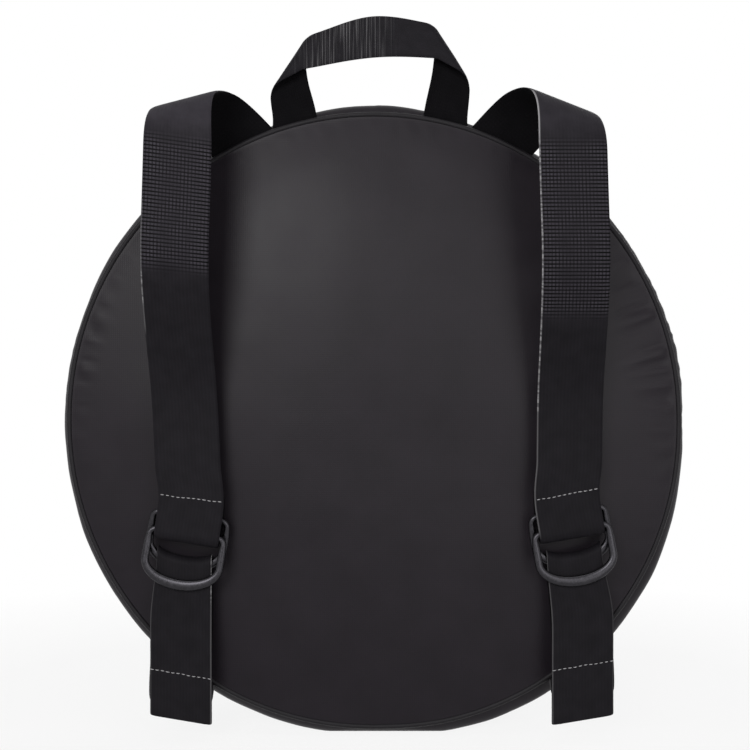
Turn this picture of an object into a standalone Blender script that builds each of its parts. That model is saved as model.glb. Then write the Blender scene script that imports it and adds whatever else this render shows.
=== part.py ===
"""A round, drum-shaped backpack of black nylon, built from its sewn pieces.

Two padded round panels stand face to face. A side band, the gusset, joins them and a zip runs round its
middle, so that the front half opens like a lid about the bottom of the bag. Webbing shoulder straps leave the
top of the back seam, roll over and hang down to two D-rings each. A second webbing comes up from the bottom
seam, passes through both rings, folds over the upper one and hangs down in front of it as a loose tail.

Metres, +Z up, +X to the right as one looks at the straps, which face -Y. The bag stands on Z = 0.
"""

import math

import bmesh
import bpy
from mathutils import Matrix, Vector

MM = 0.001

# Clearances
GAP = 0.3 * MM
CUT_OVERRUN = 5 * MM

# Body of the bag
PIPING_RING_RADIUS = 186 * MM
GUSSET_SWELL = 5.5 * MM
GUSSET_RADIUS = PIPING_RING_RADIUS + GUSSET_SWELL
BOTTOM_SAG = 1.9 * MM
STAND_HEIGHT = GUSSET_RADIUS + BOTTOM_SAG
BODY_DEPTH = 112 * MM
ROUND_STEPS = 48
PANEL_CROWN = 9 * MM
CLOTH_THICKNESS = 1.2 * MM
LINING_THICKNESS = 0.9 * MM
FOAM_THICKNESS = 4.5 * MM
PIPING_RADIUS = 1.6 * MM
PIPING_SIDES = 6
BINDING_THICKNESS = 2.2 * MM
BINDING_WIDTH = 8 * MM

# How far the soft side band bellies out at even steps of angle, from straight down to straight out
BELLY = {
    "left": (3.9 * MM, 4.5 * MM, 4.6 * MM, 3.4 * MM, 1.6 * MM, 0.8 * MM, 0.0),
    "right": (3.9 * MM, 7.3 * MM, 8.8 * MM, 8.6 * MM, 6.2 * MM, 3.0 * MM, 0.0),
}
BELLY_DEPTH = 12 * MM
# Under this angle from straight down, the whole depth of the bag sags onto the ground
UNDER_ANGLE = math.radians(12)
SEAM_BELLY_SHARE = 0.45
FRONT_BELLY_SHARE = 0.6

# Shares of a panel's radius at which its rings of points lie
PANEL_SHARES = (0.0, 0.5, 0.82, 1.0)
CROWN_POWER = 3
FOAM_RIM_SHARE = 0.9
# Shares of the rise from the seam to the full gusset, against shares of the belly's depth
GUSSET_RISE_SHARES = ((0.0, 0.0), (0.3, 0.62), (1.0, 1.0))

# Zip
ZIP_END_ANGLE = math.radians(30)
ZIP_SPLIT = 1.6 * MM
TAPE_THICKNESS = 0.8 * MM
TAPE_UNDERLAP = 8 * MM
COIL_WIDTH = 2.8 * MM
COIL_HEIGHT = 2.2 * MM
ZIP_BAND_HALF = 6 * MM

# Zip slider and pull
SLIDER_PARK = 9.5 * MM
SLIDER_LENGTH = 12 * MM
SLIDER_WIDTH = 8.4 * MM
SLIDER_PLATE = 1.2 * MM
SLIDER_CLEARANCE = 0.4 * MM
SLIDER_POST_LENGTH = 3 * MM
BAIL_LENGTH = 7 * MM
BAIL_HEIGHT = 3.2 * MM
BAIL_WIDTH = 2 * MM
BAIL_WALL = 1 * MM
PULL_LENGTH = 24 * MM
PULL_WIDTH = 7.4 * MM
PULL_THICKNESS = 1.4 * MM
PULL_ARM = 1.6 * MM
PULL_WINDOW = 6 * MM
PULL_HOLE_LENGTH = 7 * MM
PULL_CORNER = 1.8 * MM
EDGE_ROUNDING = 0.35 * MM

# Webbing
WEBBING_WIDTH = 38 * MM
WEBBING_THICKNESS = 1.8 * MM
BEAD_ANGLES = (80, 55, 28)

# Shoulder strap: it leaves the top seam leaning outward and rolls over toward the wearer
SEAM_ROOT_DIP = 0.8 * MM
SEAM_ROOT_RADIUS = PIPING_RING_RADIUS - SEAM_ROOT_DIP
STRAP_LEAN = math.radians(43)
STRAP_RISE = 4.5 * MM
ROLL_TIGHT_RADIUS = 24 * MM
ROLL_TIGHT_ANGLE = math.radians(75)
ROLL_WIDE_RADIUS = 50 * MM
ROLL_WIDE_ANGLE = math.radians(30)
STRAP_DROP = 50 * MM
SWAY_RADIUS = 90 * MM
SWAY_ANGLE = math.radians(25)
RING_STAND_OFF = 20 * MM
END_FLAP = 24 * MM
FLAP_BEND_RADIUS = 5 * MM
FLAP_BEND_ANGLE = math.radians(30)

# D-rings, two on each strap, tilted with their outer sides up
RING_HALF_WIDTH = 22.8 * MM
RING_HEIGHT = 30.5 * MM
RING_BOW = 13 * MM
RING_CORNER = 3.6 * MM
RING_WIRE = 1.8 * MM
RING_BAND = 2.9 * MM
RING_SIDES = 8
RING_BOW_STEPS = 10
RING_TILT = math.radians(9.5)
UPPER_BAR_BELOW = {"left": 57.5 * MM, "right": 55 * MM}
RING_SPACING = 12.5 * MM
BAR_OFFSET = 2.0 * MM

# Lower strap and its loose tail
FOLD_RADIUS = 4.0 * MM
FOLD_STAND = 5.5 * MM
LOWER_LEAN = math.radians(40)
LOWER_ROOT_RUN = 7 * MM
LOWER_SLIDE = 9 * MM
LOWER_SLIDE_FADE = 45 * MM
RING_SETTLE = 42 * MM
SEAT_SLIDE = 0.5 * MM
SEAT_CLIMB_SHARE = 0.75
TAIL_HINGE_BELOW = 106.5 * MM
TAIL_END_BELOW = 178 * MM
HEM_LENGTH = 26 * MM
HEM_RADIUS = 1.1 * MM

# Where each side's webbing hangs, measured out from the middle of the bag
FALL_OUT = {"left": 111 * MM, "right": 112.5 * MM}
RING_OUT = {"left": 108.3 * MM, "right": 114.7 * MM}
LOWER_OUT = {"left": 115 * MM, "right": 124.3 * MM}
# The left strap is twisted a little where it rolls over, which flattens the slope of its crest
ROLL_TWIST_SHARE = {"left": 0.14, "right": 0.0}
SIDES = {"left": -1, "right": 1}

# Swing joint of a strap
SWING_CUT_RADIUS = 27 * MM
LOWER_CUT_BELOW = 131 * MM

# Grab handle
HANDLE_LEG_OUT = 47.3 * MM
HANDLE_SHIFT = 2.4 * MM
HANDLE_HINGE_RISE = 5 * MM
HANDLE_RISE = 38.4 * MM
HANDLE_HINGE_HEIGHT = PIPING_RING_RADIUS + HANDLE_HINGE_RISE
HANDLE_RUN_HEIGHT = PIPING_RING_RADIUS + HANDLE_RISE
HANDLE_LEG_WIDTH = 28 * MM
HANDLE_FOLD_WIDTH = 17 * MM
HANDLE_RUN_WIDTH = 23.8 * MM
HANDLE_DOME = 8 * MM
HANDLE_DOME_OUT = 3 * MM
HANDLE_BOW = 3.5 * MM
HANDLE_SLOPE_SHARE = 0.07
HANDLE_ROLL = 4.2 * MM

# Places that follow from the sizes above
ROLL_FORWARD = (2 * ROLL_TIGHT_RADIUS * (1 - math.cos(ROLL_TIGHT_ANGLE))
                + 2 * ROLL_WIDE_RADIUS * math.sin(ROLL_WIDE_ANGLE / 2))
STRAP_REACH = ROLL_FORWARD - PIPING_RADIUS - GAP
PANEL_REACH = PANEL_CROWN + CLOTH_THICKNESS / 2
BACK_SEAM_Y = (STRAP_REACH - BODY_DEPTH - PANEL_REACH) / 2
FRONT_SEAM_Y = BACK_SEAM_Y + BODY_DEPTH
ZIP_Y = BACK_SEAM_Y + BODY_DEPTH / 2
CENTRE = Vector((0, 0, STAND_HEIGHT))
PANEL_RADIUS = PIPING_RING_RADIUS - PIPING_RADIUS - GAP
ROOT_Y = BACK_SEAM_Y + PIPING_RADIUS + GAP + WEBBING_THICKNESS / 2
RING_Y = BACK_SEAM_Y - RING_STAND_OFF


def clear_scene():
    for old in list(bpy.data.objects):
        bpy.data.objects.remove(old, do_unlink=True)


def collection(name):
    made = bpy.data.collections.new(name)
    bpy.context.scene.collection.children.link(made)
    return made


def material(name, colour, roughness, metallic=0.0):
    made = bpy.data.materials.new(name)
    made.use_nodes = True
    shader = made.node_tree.nodes["Principled BSDF"]
    shader.inputs["Base Color"].default_value = (*colour, 1)
    shader.inputs["Roughness"].default_value = roughness
    shader.inputs["Metallic"].default_value = metallic
    return made


def add_object(name, mesh, finish, where):
    made = bpy.data.objects.new(name, mesh)
    mesh.materials.append(finish)
    where.objects.link(made)
    return made


def mesh_from(bm, name, smooth=True):
    bmesh.ops.recalc_face_normals(bm, faces=bm.faces)
    mesh = bpy.data.meshes.new(name)
    bm.to_mesh(mesh)
    bm.free()
    if smooth:
        mesh.shade_smooth()
        mesh.set_sharp_from_angle(angle=math.radians(40))
    return mesh


def smooth_share(value):
    """0 below 0, 1 above 1, and an even curve between."""
    value = min(max(value, 0.0), 1.0)
    return value * value * (3 - 2 * value)


# The body's turned pieces

def belly(angle, y):
    """How far the soft side stands out at this angle from straight down and this depth."""
    table = BELLY["right" if angle > 0 else "left"]
    place = abs(angle) / (math.pi / 2) * (len(table) - 1)
    if place >= len(table) - 1:
        return 0.0
    step = int(place)
    most = table[step] + (table[step + 1] - table[step]) * (place - step)
    from_back, from_front = y - BACK_SEAM_Y, FRONT_SEAM_Y - y
    depth = min(from_back, from_front)
    fade_length = BODY_DEPTH / 2 - ZIP_BAND_HALF - TAPE_UNDERLAP - BELLY_DEPTH
    side_share = 1 - smooth_share((depth - BELLY_DEPTH) / fade_length)
    if from_front < from_back:
        side_share *= FRONT_BELLY_SHARE
    under_share = 1 - smooth_share((abs(angle) - UNDER_ANGLE) / UNDER_ANGLE)
    rise_share = SEAM_BELLY_SHARE + (1 - SEAM_BELLY_SHARE) * smooth_share(depth / BELLY_DEPTH)
    return most * rise_share * (side_share + (1 - side_share) * under_share)


def settle(bm):
    """Turns true circles into the outline of a soft bag that stands on a flattened bottom."""
    for vertex in bm.verts:
        x, z = vertex.co.x, vertex.co.z - STAND_HEIGHT
        plain = math.hypot(x, z)
        if plain < GAP:
            continue
        angle = math.atan2(x, -z)
        radius_share = plain / GUSSET_RADIUS
        radius = plain + belly(angle, vertex.co.y) * radius_share ** 2
        if math.cos(angle) > 0:
            radius = min(radius, STAND_HEIGHT * radius_share / math.cos(angle))
        vertex.co.x = radius * math.sin(angle)
        vertex.co.z = STAND_HEIGHT - radius * math.cos(angle)


def turned(name, profile, finish, where, ends=None):
    """A piece turned about the bag's axis from (y, radius) points. ends are its first and last angle
    from straight down; without them it goes all the way round."""
    bm = bmesh.new()
    points = [bm.verts.new((0, y, STAND_HEIGHT - radius)) for y, radius in profile]
    from_axis = profile[0][1] == 0
    pairs = list(zip(points, points[1:])) + ([] if from_axis else [(points[-1], points[0])])
    line = [bm.edges.new(pair) for pair in pairs]
    first, last = ends or (0, 2 * math.pi)
    bmesh.ops.rotate(bm, verts=points, cent=CENTRE, matrix=Matrix.Rotation(-first, 3, "Y"))
    steps = round(ROUND_STEPS * (last - first) / (2 * math.pi))
    bmesh.ops.spin(bm, geom=points + line, cent=CENTRE, axis=(0, -1, 0), angle=last - first, steps=steps)
    bmesh.ops.remove_doubles(bm, verts=bm.verts, dist=GAP / 100)
    if ends:
        bmesh.ops.holes_fill(bm, edges=[edge for edge in bm.edges if edge.is_boundary])
    settle(bm)
    return add_object(name, mesh_from(bm, name), finish, where)


def crown(share):
    """Height of the panel's dome over its rim, in straight steps between the rings of points."""
    for inner, outer in zip(PANEL_SHARES, PANEL_SHARES[1:]):
        if share <= outer:
            along = (share - inner) / (outer - inner)
            low, high = (PANEL_CROWN * (1 - ring ** CROWN_POWER) for ring in (inner, outer))
            return low + (high - low) * along
    return 0.0


def padding(share):
    """Room for the foam between cloth and lining: full in the middle, gone at the sewn rim."""
    full = FOAM_THICKNESS + 2 * GAP
    edge_share = PANEL_SHARES[-2]
    if share <= edge_share:
        return full
    return full + (GAP - full) * (share - edge_share) / (1 - edge_share)


def seam_depth(front, depth):
    """Y of a place that lies this deep inside the back seam, or inside the front one."""
    return FRONT_SEAM_Y - depth if front else BACK_SEAM_Y + depth


def build_panel(half, front, finishes, where):
    """Outer cloth, foam and lining of one round panel."""
    cloth_in = CLOTH_THICKNESS / 2

    def sheet(name, outer, inner, shares, finish):
        face = [(seam_depth(front, outer(s)), s * PANEL_RADIUS) for s in shares]
        back = [(seam_depth(front, inner(s)), s * PANEL_RADIUS) for s in reversed(shares)]
        turned(name, face + back, finish, where)

    sheet(f"{half}_panel", lambda s: -cloth_in - crown(s), lambda s: cloth_in - crown(s), PANEL_SHARES,
          finishes["nylon"])
    foam_shares = PANEL_SHARES[:-1] + (FOAM_RIM_SHARE,)
    sheet(f"{half}_foam", lambda s: cloth_in + GAP - crown(s),
          lambda s: cloth_in + padding(s) - GAP - crown(s), foam_shares, finishes["foam"])
    sheet(f"{half}_lining", lambda s: cloth_in + padding(s) - crown(s),
          lambda s: cloth_in + padding(s) + LINING_THICKNESS - crown(s), PANEL_SHARES, finishes["lining"])


def build_seam(half, front, finishes, where):
    """Piping in the rim seam, and the binding tape over its raw edges inside."""
    circle = [2 * math.pi * i / PIPING_SIDES for i in range(PIPING_SIDES)]
    turned(f"{half}_piping", [(seam_depth(front, PIPING_RADIUS * math.cos(a)),
                               PIPING_RING_RADIUS + PIPING_RADIUS * math.sin(a)) for a in circle],
           finishes["piping"], where)
    start = CLOTH_THICKNESS / 2 + GAP + LINING_THICKNESS + GAP
    outer = PANEL_RADIUS
    corners = [(start, outer), (start + BINDING_WIDTH, outer),
               (start + BINDING_WIDTH, outer - BINDING_THICKNESS), (start, outer - BINDING_THICKNESS)]
    turned(f"{half}_seam_binding", [(seam_depth(front, d), r) for d, r in corners],
           finishes["binding"], where)


def band_profile(front, last_depth):
    """Section of the side band from the seam to last_depth: it swells quickly to its full radius. At
    the back, where the webbings are sewn in, it leaves room for them."""
    start = PIPING_RADIUS + GAP + (0 if front else WEBBING_THICKNESS + GAP)
    first_radius = PIPING_RING_RADIUS + PIPING_RADIUS / 2
    outer = [(start + share * (BELLY_DEPTH - start), first_radius + rise * (GUSSET_RADIUS - first_radius))
             for share, rise in GUSSET_RISE_SHARES]
    outer += [((BELLY_DEPTH + last_depth) / 2, GUSSET_RADIUS), (last_depth, GUSSET_RADIUS)]
    inner = [(depth, radius - CLOTH_THICKNESS) for depth, radius in reversed(outer)]
    return [(seam_depth(front, depth), radius) for depth, radius in outer + inner]


def build_gusset(half, front, finishes, where):
    """The side band's half with its half of the zip, and the short bottom band between the zip's ends."""
    middle = BODY_DEPTH / 2
    round_zip = (ZIP_END_ANGLE, 2 * math.pi - ZIP_END_ANGLE)
    sliver = GAP / GUSSET_RADIUS
    turned(f"gusset_{half}", band_profile(front, middle - ZIP_BAND_HALF), finishes["nylon"], where, round_zip)
    turned(f"bottom_gusset_{half}", band_profile(front, middle - GAP / 2), finishes["nylon"], where,
           (sliver - ZIP_END_ANGLE, ZIP_END_ANGLE - sliver))

    tape_out = GUSSET_RADIUS - CLOTH_THICKNESS - GAP
    tape_in = tape_out - TAPE_THICKNESS
    edge = middle - ZIP_SPLIT / 2
    tape_start = middle - ZIP_BAND_HALF - TAPE_UNDERLAP
    tape = [(tape_start, tape_out), (edge, tape_out), (edge, tape_in), (tape_start, tape_in)]
    turned(f"zip_tape_{half}", [(seam_depth(front, d), r) for d, r in tape], finishes["zip_tape"], where,
           round_zip)
    coil_in = tape_out + GAP
    coil = [(edge - COIL_WIDTH, coil_in + COIL_HEIGHT), (edge, coil_in + COIL_HEIGHT),
            (edge, coil_in), (edge - COIL_WIDTH, coil_in)]
    turned(f"zip_coil_{half}", [(seam_depth(front, d), r) for d, r in coil], finishes["zip_coil"], where,
           round_zip)


# Zip sliders and pulls

def box_between(bm, low, high):
    """An upright block in bm from its two corners."""
    size = Vector(high) - Vector(low)
    middle = (Vector(high) + Vector(low)) / 2
    place = Matrix.Translation(middle) @ Matrix.Diagonal((*size, 1))
    bmesh.ops.create_cube(bm, size=1, matrix=place)


def block(name, low, high, finish, where, rounding=0.0):
    bm = bmesh.new()
    box_between(bm, low, high)
    if rounding:
        bmesh.ops.bevel(bm, geom=bm.edges, offset=rounding, segments=1, affect="EDGES")
    return add_object(name, mesh_from(bm, name, smooth=False), finish, where)


def boolean(target, tool, operation):
    step = target.modifiers.new(operation.lower(), "BOOLEAN")
    step.operation = operation
    step.solver = "EXACT"
    step.object = tool


def apply_modifiers(target):
    """Keeps the evaluated mesh in place of the modifiers."""
    graph = bpy.context.evaluated_depsgraph_get()
    shape = bpy.data.meshes.new_from_object(target.evaluated_get(graph))
    target.modifiers.clear()
    target.data = shape


def as_cutter(helper, cutters):
    for owner in list(helper.users_collection):
        owner.objects.unlink(helper)
    cutters.objects.link(helper)
    helper.hide_render = True
    helper.display_type = "WIRE"


def join_blocks(name, blocks, finish, where, cutters):
    """One solid from overlapping blocks: the first is the target, the others are united with it."""
    target = block(name, *blocks[0], finish, where)
    for index, corners in enumerate(blocks[1:]):
        helper = block(f"{name}_piece_{index}", *corners, finish, where)
        as_cutter(helper, cutters)
        boolean(target, helper, "UNION")
    return target


def build_slider(side, finishes, where, cutters):
    """Slider and pull at the top of the zip. The slider holds the coils between two plates, and the pull
    turns on a bar under the slider's bail."""
    sign = SIDES[side]
    coil_top = GUSSET_RADIUS - CLOTH_THICKNESS + COIL_HEIGHT
    tape_in = GUSSET_RADIUS - CLOTH_THICKNESS - GAP - TAPE_THICKNESS
    facet_share = math.cos(math.pi / ROUND_STEPS)
    plate_low = coil_top + SLIDER_CLEARANCE
    plate_high = plate_low + SLIDER_PLATE
    under_high = tape_in * facet_share - SLIDER_CLEARANCE
    under_low = under_high - SLIDER_PLATE
    half_length, half_width = SLIDER_LENGTH / 2, SLIDER_WIDTH / 2
    post = ZIP_SPLIT / 2 - SLIDER_CLEARANCE
    sink = SLIDER_PLATE / 4
    bail_half = BAIL_LENGTH / 2
    bail_top = plate_high + BAIL_HEIGHT

    def around(length, width, low, high, middle=0.0):
        return ((middle - length / 2, -width / 2, low), (middle + length / 2, width / 2, high))

    leg_middle = bail_half - BAIL_WALL / 2
    solid = [around(SLIDER_LENGTH, SLIDER_WIDTH, plate_low, plate_high),
             around(SLIDER_LENGTH, SLIDER_WIDTH, under_low, under_high),
             around(SLIDER_POST_LENGTH, 2 * post, under_high - sink, plate_low + sink),
             around(BAIL_WALL, BAIL_WIDTH, plate_high - sink, bail_top, leg_middle),
             around(BAIL_WALL, BAIL_WIDTH, plate_high - sink, bail_top, -leg_middle),
             around(BAIL_LENGTH, BAIL_WIDTH, bail_top - BAIL_WALL, bail_top)]
    slider = join_blocks(f"zip_slider_{side}", solid, finishes["metal"], where, cutters)

    bar = plate_high + GAP + PULL_THICKNESS / 2
    half_pull = PULL_WIDTH / 2
    window_end = PULL_THICKNESS / 2 + PULL_WINDOW
    bm = bmesh.new()
    box_between(bm, (-PULL_THICKNESS / 2, -half_pull, bar - PULL_THICKNESS / 2),
                (PULL_LENGTH, half_pull, bar + PULL_THICKNESS / 2))
    corners = [edge for edge in bm.edges
               if all(vertex.co.x > PULL_LENGTH / 2 for vertex in edge.verts)
               and abs(edge.verts[0].co.z - edge.verts[1].co.z) > GAP]
    bmesh.ops.bevel(bm, geom=corners, offset=PULL_CORNER, segments=3, affect="EDGES")
    pull = add_object(f"zip_pull_{side}", mesh_from(bm, "pull"), finishes["metal"], where)
    arm = half_pull - PULL_ARM
    hole_start = window_end + PULL_ARM
    for index, (start, end) in enumerate(((PULL_THICKNESS / 2, window_end),
                                          (hole_start, hole_start + PULL_HOLE_LENGTH))):
        hole = block(f"zip_pull_{side}_hole_{index}", (start, -arm, bar - CUT_OVERRUN),
                     (end, arm, bar + CUT_OVERRUN), finishes["metal"], where)
        as_cutter(hole, cutters)
        boolean(pull, hole, "DIFFERENCE")

    turn = math.asin(SLIDER_PARK / coil_top)
    half_turn = Matrix.Rotation(math.pi if sign < 0 else 0, 4, "Z")
    place = (Matrix.Translation((0, ZIP_Y, STAND_HEIGHT)) @ Matrix.Rotation(sign * turn, 4, "Y") @ half_turn)
    for piece in (slider, pull):
        apply_modifiers(piece)
        piece.matrix_world = place
    return slider, pull


# Webbing: a flat strip that is bent along straight creases, as real webbing is

class Bend:
    """One roll in a strip: where its crease starts on the strip's middle line, how the crease slants, and
    the roll's radius and angle. A positive angle rolls toward the strip's face."""

    def __init__(self, start, slant, radius, angle):
        self.start = start
        self.slant = slant
        self.radius = radius
        self.angle = angle
        self.arc = radius * abs(angle)

    def split(self, across, along):
        """A flat point as (distance along the crease, distance beyond it)."""
        ahead = along - self.start
        return (across * math.cos(self.slant) + ahead * math.sin(self.slant),
                ahead * math.cos(self.slant) - across * math.sin(self.slant))

    def move(self, point, flat):
        """Rolls one point, which later bends may have lifted, by where it lay on the flat strip."""
        beyond = self.split(*flat)[1]
        if beyond <= 0:
            return point
        side = math.copysign(1, self.angle)
        crease, ahead = self.split(point[0], point[1])
        turn = min(beyond / self.radius, abs(self.angle))
        rest = ahead - self.radius * turn
        inner = self.radius - side * point[2]
        out = inner * math.sin(turn) + rest * math.cos(turn)
        lift = side * (self.radius - inner * math.cos(turn) + rest * math.sin(turn))
        return (crease * math.cos(self.slant) - out * math.sin(self.slant),
                self.start + crease * math.sin(self.slant) + out * math.cos(self.slant), lift)


def chain_of(runs):
    """Bends from (straight run before, slant, radius, angle) rows, and the length up to the last one's end."""
    bends, along = [], 0.0
    for run, slant, radius, angle in runs:
        along += run
        bends.append(Bend(along, slant, radius, angle))
        along += bends[-1].arc / math.cos(slant)
    return bends, along


def bent_point(across, along, height, bends):
    point = (across, along, height)
    for bend in reversed(bends):
        point = bend.move(point, (across, along))
    return Vector(point)


def strip_stations(bends, length, end_slants, angle_step, run_step):
    """Rows across the strip, as (place on the middle line, slant): close in the bends, wider between."""
    rows = [(0.0, end_slants[0])]
    for bend in bends:
        count = max(2, math.ceil(abs(bend.angle) / angle_step))
        for index in range(count + 1):
            row = (bend.start + bend.arc * index / count / math.cos(bend.slant), bend.slant)
            if row[0] - rows[-1][0] > GAP:
                rows.append(row)
    rows.append((length, end_slants[1]))
    filled = [rows[0]]
    for lower, upper in zip(rows, rows[1:]):
        count = math.ceil((upper[0] - lower[0]) / run_step)
        for index in range(1, count + 1):
            filled.append(tuple(a + (b - a) * index / count for a, b in zip(lower, upper)))
    return filled


class Strip:
    """A strip of webbing: its bends, its length, and the matrix that places its root."""

    def __init__(self, runs, last_run, place, width=None, shift=None, end_slants=(0.0, 0.0)):
        self.bends, bent_length = chain_of(runs)
        self.length = bent_length + last_run
        self.place = place
        self.width = width or (lambda along: WEBBING_WIDTH)
        self.shift = shift or (lambda point, along: point)
        self.end_slants = end_slants

    def point(self, across, along, height=0.0):
        return self.shift(self.place @ bent_point(across, along, height, self.bends), along)

    def solid(self, name, finish, where, start=None, end=None, cells=2, beads=(False, False),
              angle_step=math.radians(26), run_step=30 * MM):
        """The strip from start to end as a closed solid. A bead rounds an end about its hinge line."""
        rows = strip_stations(self.bends, self.length, self.end_slants, angle_step, run_step)
        first = rows[0] if start is None else (start, 0.0)
        last = rows[-1] if end is None else (end, 0.0)
        inside = [row for row in rows if first[0] + GAP < row[0] < last[0] - GAP]
        half = WEBBING_THICKNESS / 2
        rows = [(*row, half) for row in (first, *inside, last)]
        ring = [math.radians(degrees) for degrees in BEAD_ANGLES]
        if beads[0]:
            rows = [(first[0] - half * math.sin(a), 0.0, half * math.cos(a)) for a in ring] + rows
        if beads[1]:
            rows += [(last[0] + half * math.sin(a), 0.0, half * math.cos(a)) for a in reversed(ring)]
        bm = bmesh.new()
        loops = []
        for along, slant, half_height in rows:
            reach = self.width(along) / 2
            places = [reach * (2 * cell / cells - 1) for cell in range(cells + 1)]
            ring = [(across, half_height) for across in places]
            ring += [(across, -half_height) for across in reversed(places)]
            loops.append([bm.verts.new(self.point(across, along + across * math.tan(slant), height))
                          for across, height in ring])
        count = len(loops[0])
        for lower, upper in zip(loops, loops[1:]):
            for index in range(count):
                after = (index + 1) % count
                bm.faces.new((lower[index], lower[after], upper[after], upper[index]))
        for loop in (loops[0], loops[-1]):
            for cell in range(cells):
                bm.faces.new((loop[cell], loop[cell + 1], loop[count - 2 - cell], loop[count - 1 - cell]))
        bmesh.ops.triangulate(bm, faces=bm.faces)
        return add_object(name, mesh_from(bm, name), finish, where)


def upright_place(root, lean, sign, up):
    """Puts a strip's root at a point of the back seam. It leaves in the plane of the seam, leaning
    outward by lean from straight up or straight down, with its face toward the wearer."""
    along = Vector((sign * math.sin(lean), 0, math.cos(lean) * (1 if up else -1)))
    face = Vector((0, -1, 0))
    across = along.cross(face)
    columns = Matrix((across, along, face)).transposed().to_4x4()
    return Matrix.Translation(root) @ columns


def seam_root(x, below=False, sign=1):
    """How far above or below the bag's middle a webbing's sewn end lies at this distance from its middle,
    and the slope of the seam under the webbing's width."""
    def height(place):
        radius = SEAM_ROOT_RADIUS
        if below:
            radius += belly(sign * math.asin(place / radius), BACK_SEAM_Y)
        return math.sqrt(radius ** 2 - place ** 2)

    reach = WEBBING_WIDTH / 2
    return height(x), math.atan((height(x - reach) - height(x + reach)) / (2 * reach))


def roll_runs(slant):
    """The three arcs in which a shoulder strap rolls over."""
    return [(STRAP_RISE, slant, ROLL_TIGHT_RADIUS, ROLL_TIGHT_ANGLE),
            (0.0, slant, ROLL_WIDE_RADIUS, ROLL_WIDE_ANGLE),
            (0.0, slant, ROLL_TIGHT_RADIUS, ROLL_TIGHT_ANGLE)]


def drift(run, lean, slant, arc, up):
    """Step of a strip's middle line in the seam's plane, over a straight run and a half roll."""
    along = Vector((math.sin(lean), math.cos(lean) * (1 if up else -1)))
    crease_angle = slant if up else -slant
    crease = Vector((math.cos(crease_angle), -math.sin(crease_angle)))
    return along * run + crease * arc * math.tan(slant)


def strap_strip(side):
    """The shoulder strap, from the top seam over its roll and down round the two ring bars."""
    sign = SIDES[side]
    lean = STRAP_LEAN
    slant = lean / 2
    roll = roll_runs(slant)
    arc = sum(radius * angle for _, _, radius, angle in roll)
    step = drift(STRAP_RISE, lean, slant, arc, True)
    root_x = FALL_OUT[side] - step.x
    root_height, seam_slope = seam_root(root_x)
    root_z = STAND_HEIGHT + root_height
    loop_radius = BAR_OFFSET + RING_WIRE + GAP + WEBBING_THICKNESS / 2
    front_y = RING_Y - loop_radius
    inward = front_y - (ROOT_Y - ROLL_FORWARD)
    sway_step = 2 * SWAY_RADIUS * (1 - math.cos(SWAY_ANGLE))
    sway_run = (inward - sway_step) / math.sin(SWAY_ANGLE)
    sway_drop = 2 * SWAY_RADIUS * math.sin(SWAY_ANGLE) + sway_run * math.cos(SWAY_ANGLE)
    pivot = Vector((sign * RING_OUT[side], 0, STAND_HEIGHT - UPPER_BAR_BELOW[side]))
    loop_z = pivot.z - RING_SPACING
    last_drop = root_z + step.y - STRAP_DROP - sway_drop - loop_z
    flap = 2 * FLAP_BEND_RADIUS * math.sin(FLAP_BEND_ANGLE)
    flap_turn = 2 * FLAP_BEND_RADIUS * (1 - math.cos(FLAP_BEND_ANGLE))
    flap_in = 2 * loop_radius - WEBBING_THICKNESS - GAP - flap_turn
    flap_run = flap_in / math.sin(FLAP_BEND_ANGLE)
    tilted = [(run, sign * slant, radius, angle) for run, _, radius, angle in roll]
    runs = tilted + [(STRAP_DROP, 0.0, SWAY_RADIUS, SWAY_ANGLE),
                     (sway_run, 0.0, SWAY_RADIUS, -SWAY_ANGLE),
                     (last_drop, 0.0, loop_radius, math.pi),
                     (RING_SPACING, 0.0, FLAP_BEND_RADIUS, FLAP_BEND_ANGLE),
                     (flap_run, 0.0, FLAP_BEND_RADIUS, -FLAP_BEND_ANGLE)]
    tip = END_FLAP - RING_SPACING - flap - flap_run * math.cos(FLAP_BEND_ANGLE)
    low, high = loop_z, loop_z + STRAP_DROP + sway_drop
    roll_end = STRAP_RISE + arc / math.cos(slant) / 2

    crest = root_z + step.y + ROLL_TIGHT_RADIUS

    def shift(point, along):
        """Twists the roll, slides the strap's end sideways and turns it with the rings."""
        twist_share = smooth_share((point.z - low) / (crest - low)) * smooth_share(along / roll_end)
        point.z += sign * (point.x - sign * FALL_OUT[side]) * ROLL_TWIST_SHARE[side] * twist_share
        near_share = smooth_share((high - point.z) / (high - low))
        point.x += sign * (RING_OUT[side] - FALL_OUT[side]) * near_share
        tilt_share = smooth_share((pivot.z + 2 * RING_HEIGHT - point.z) / (2 * RING_HEIGHT))
        return pivot + Matrix.Rotation(-sign * RING_TILT * tilt_share, 3, "Y") @ (point - pivot)

    root = Vector((sign * root_x, ROOT_Y, root_z))
    place = upright_place(root, lean, sign, True)
    return Strip(runs, tip, place, shift=shift, end_slants=(sign * (lean - seam_slope), 0.0))


def rings_frame(side):
    """The tilted frame in which a strap's two rings, its end and the webbing through them lie."""
    sign = SIDES[side]
    return (Matrix.Translation((sign * RING_OUT[side], RING_Y, STAND_HEIGHT - UPPER_BAR_BELOW[side]))
            @ Matrix.Rotation(-sign * RING_TILT, 4, "Y"))


def ring_place(side, upper):
    """Frame of a ring: its bar runs along X through the origin, and its bow hangs below."""
    lean = bow_offset() - BAR_OFFSET
    spread = math.asin(lean / RING_HEIGHT) * (1 if upper else -1)
    corner = (0, BAR_OFFSET, 0) if upper else (0, -BAR_OFFSET, -RING_SPACING)
    return rings_frame(side) @ Matrix.Translation(corner) @ Matrix.Rotation(spread, 4, "X")


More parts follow.
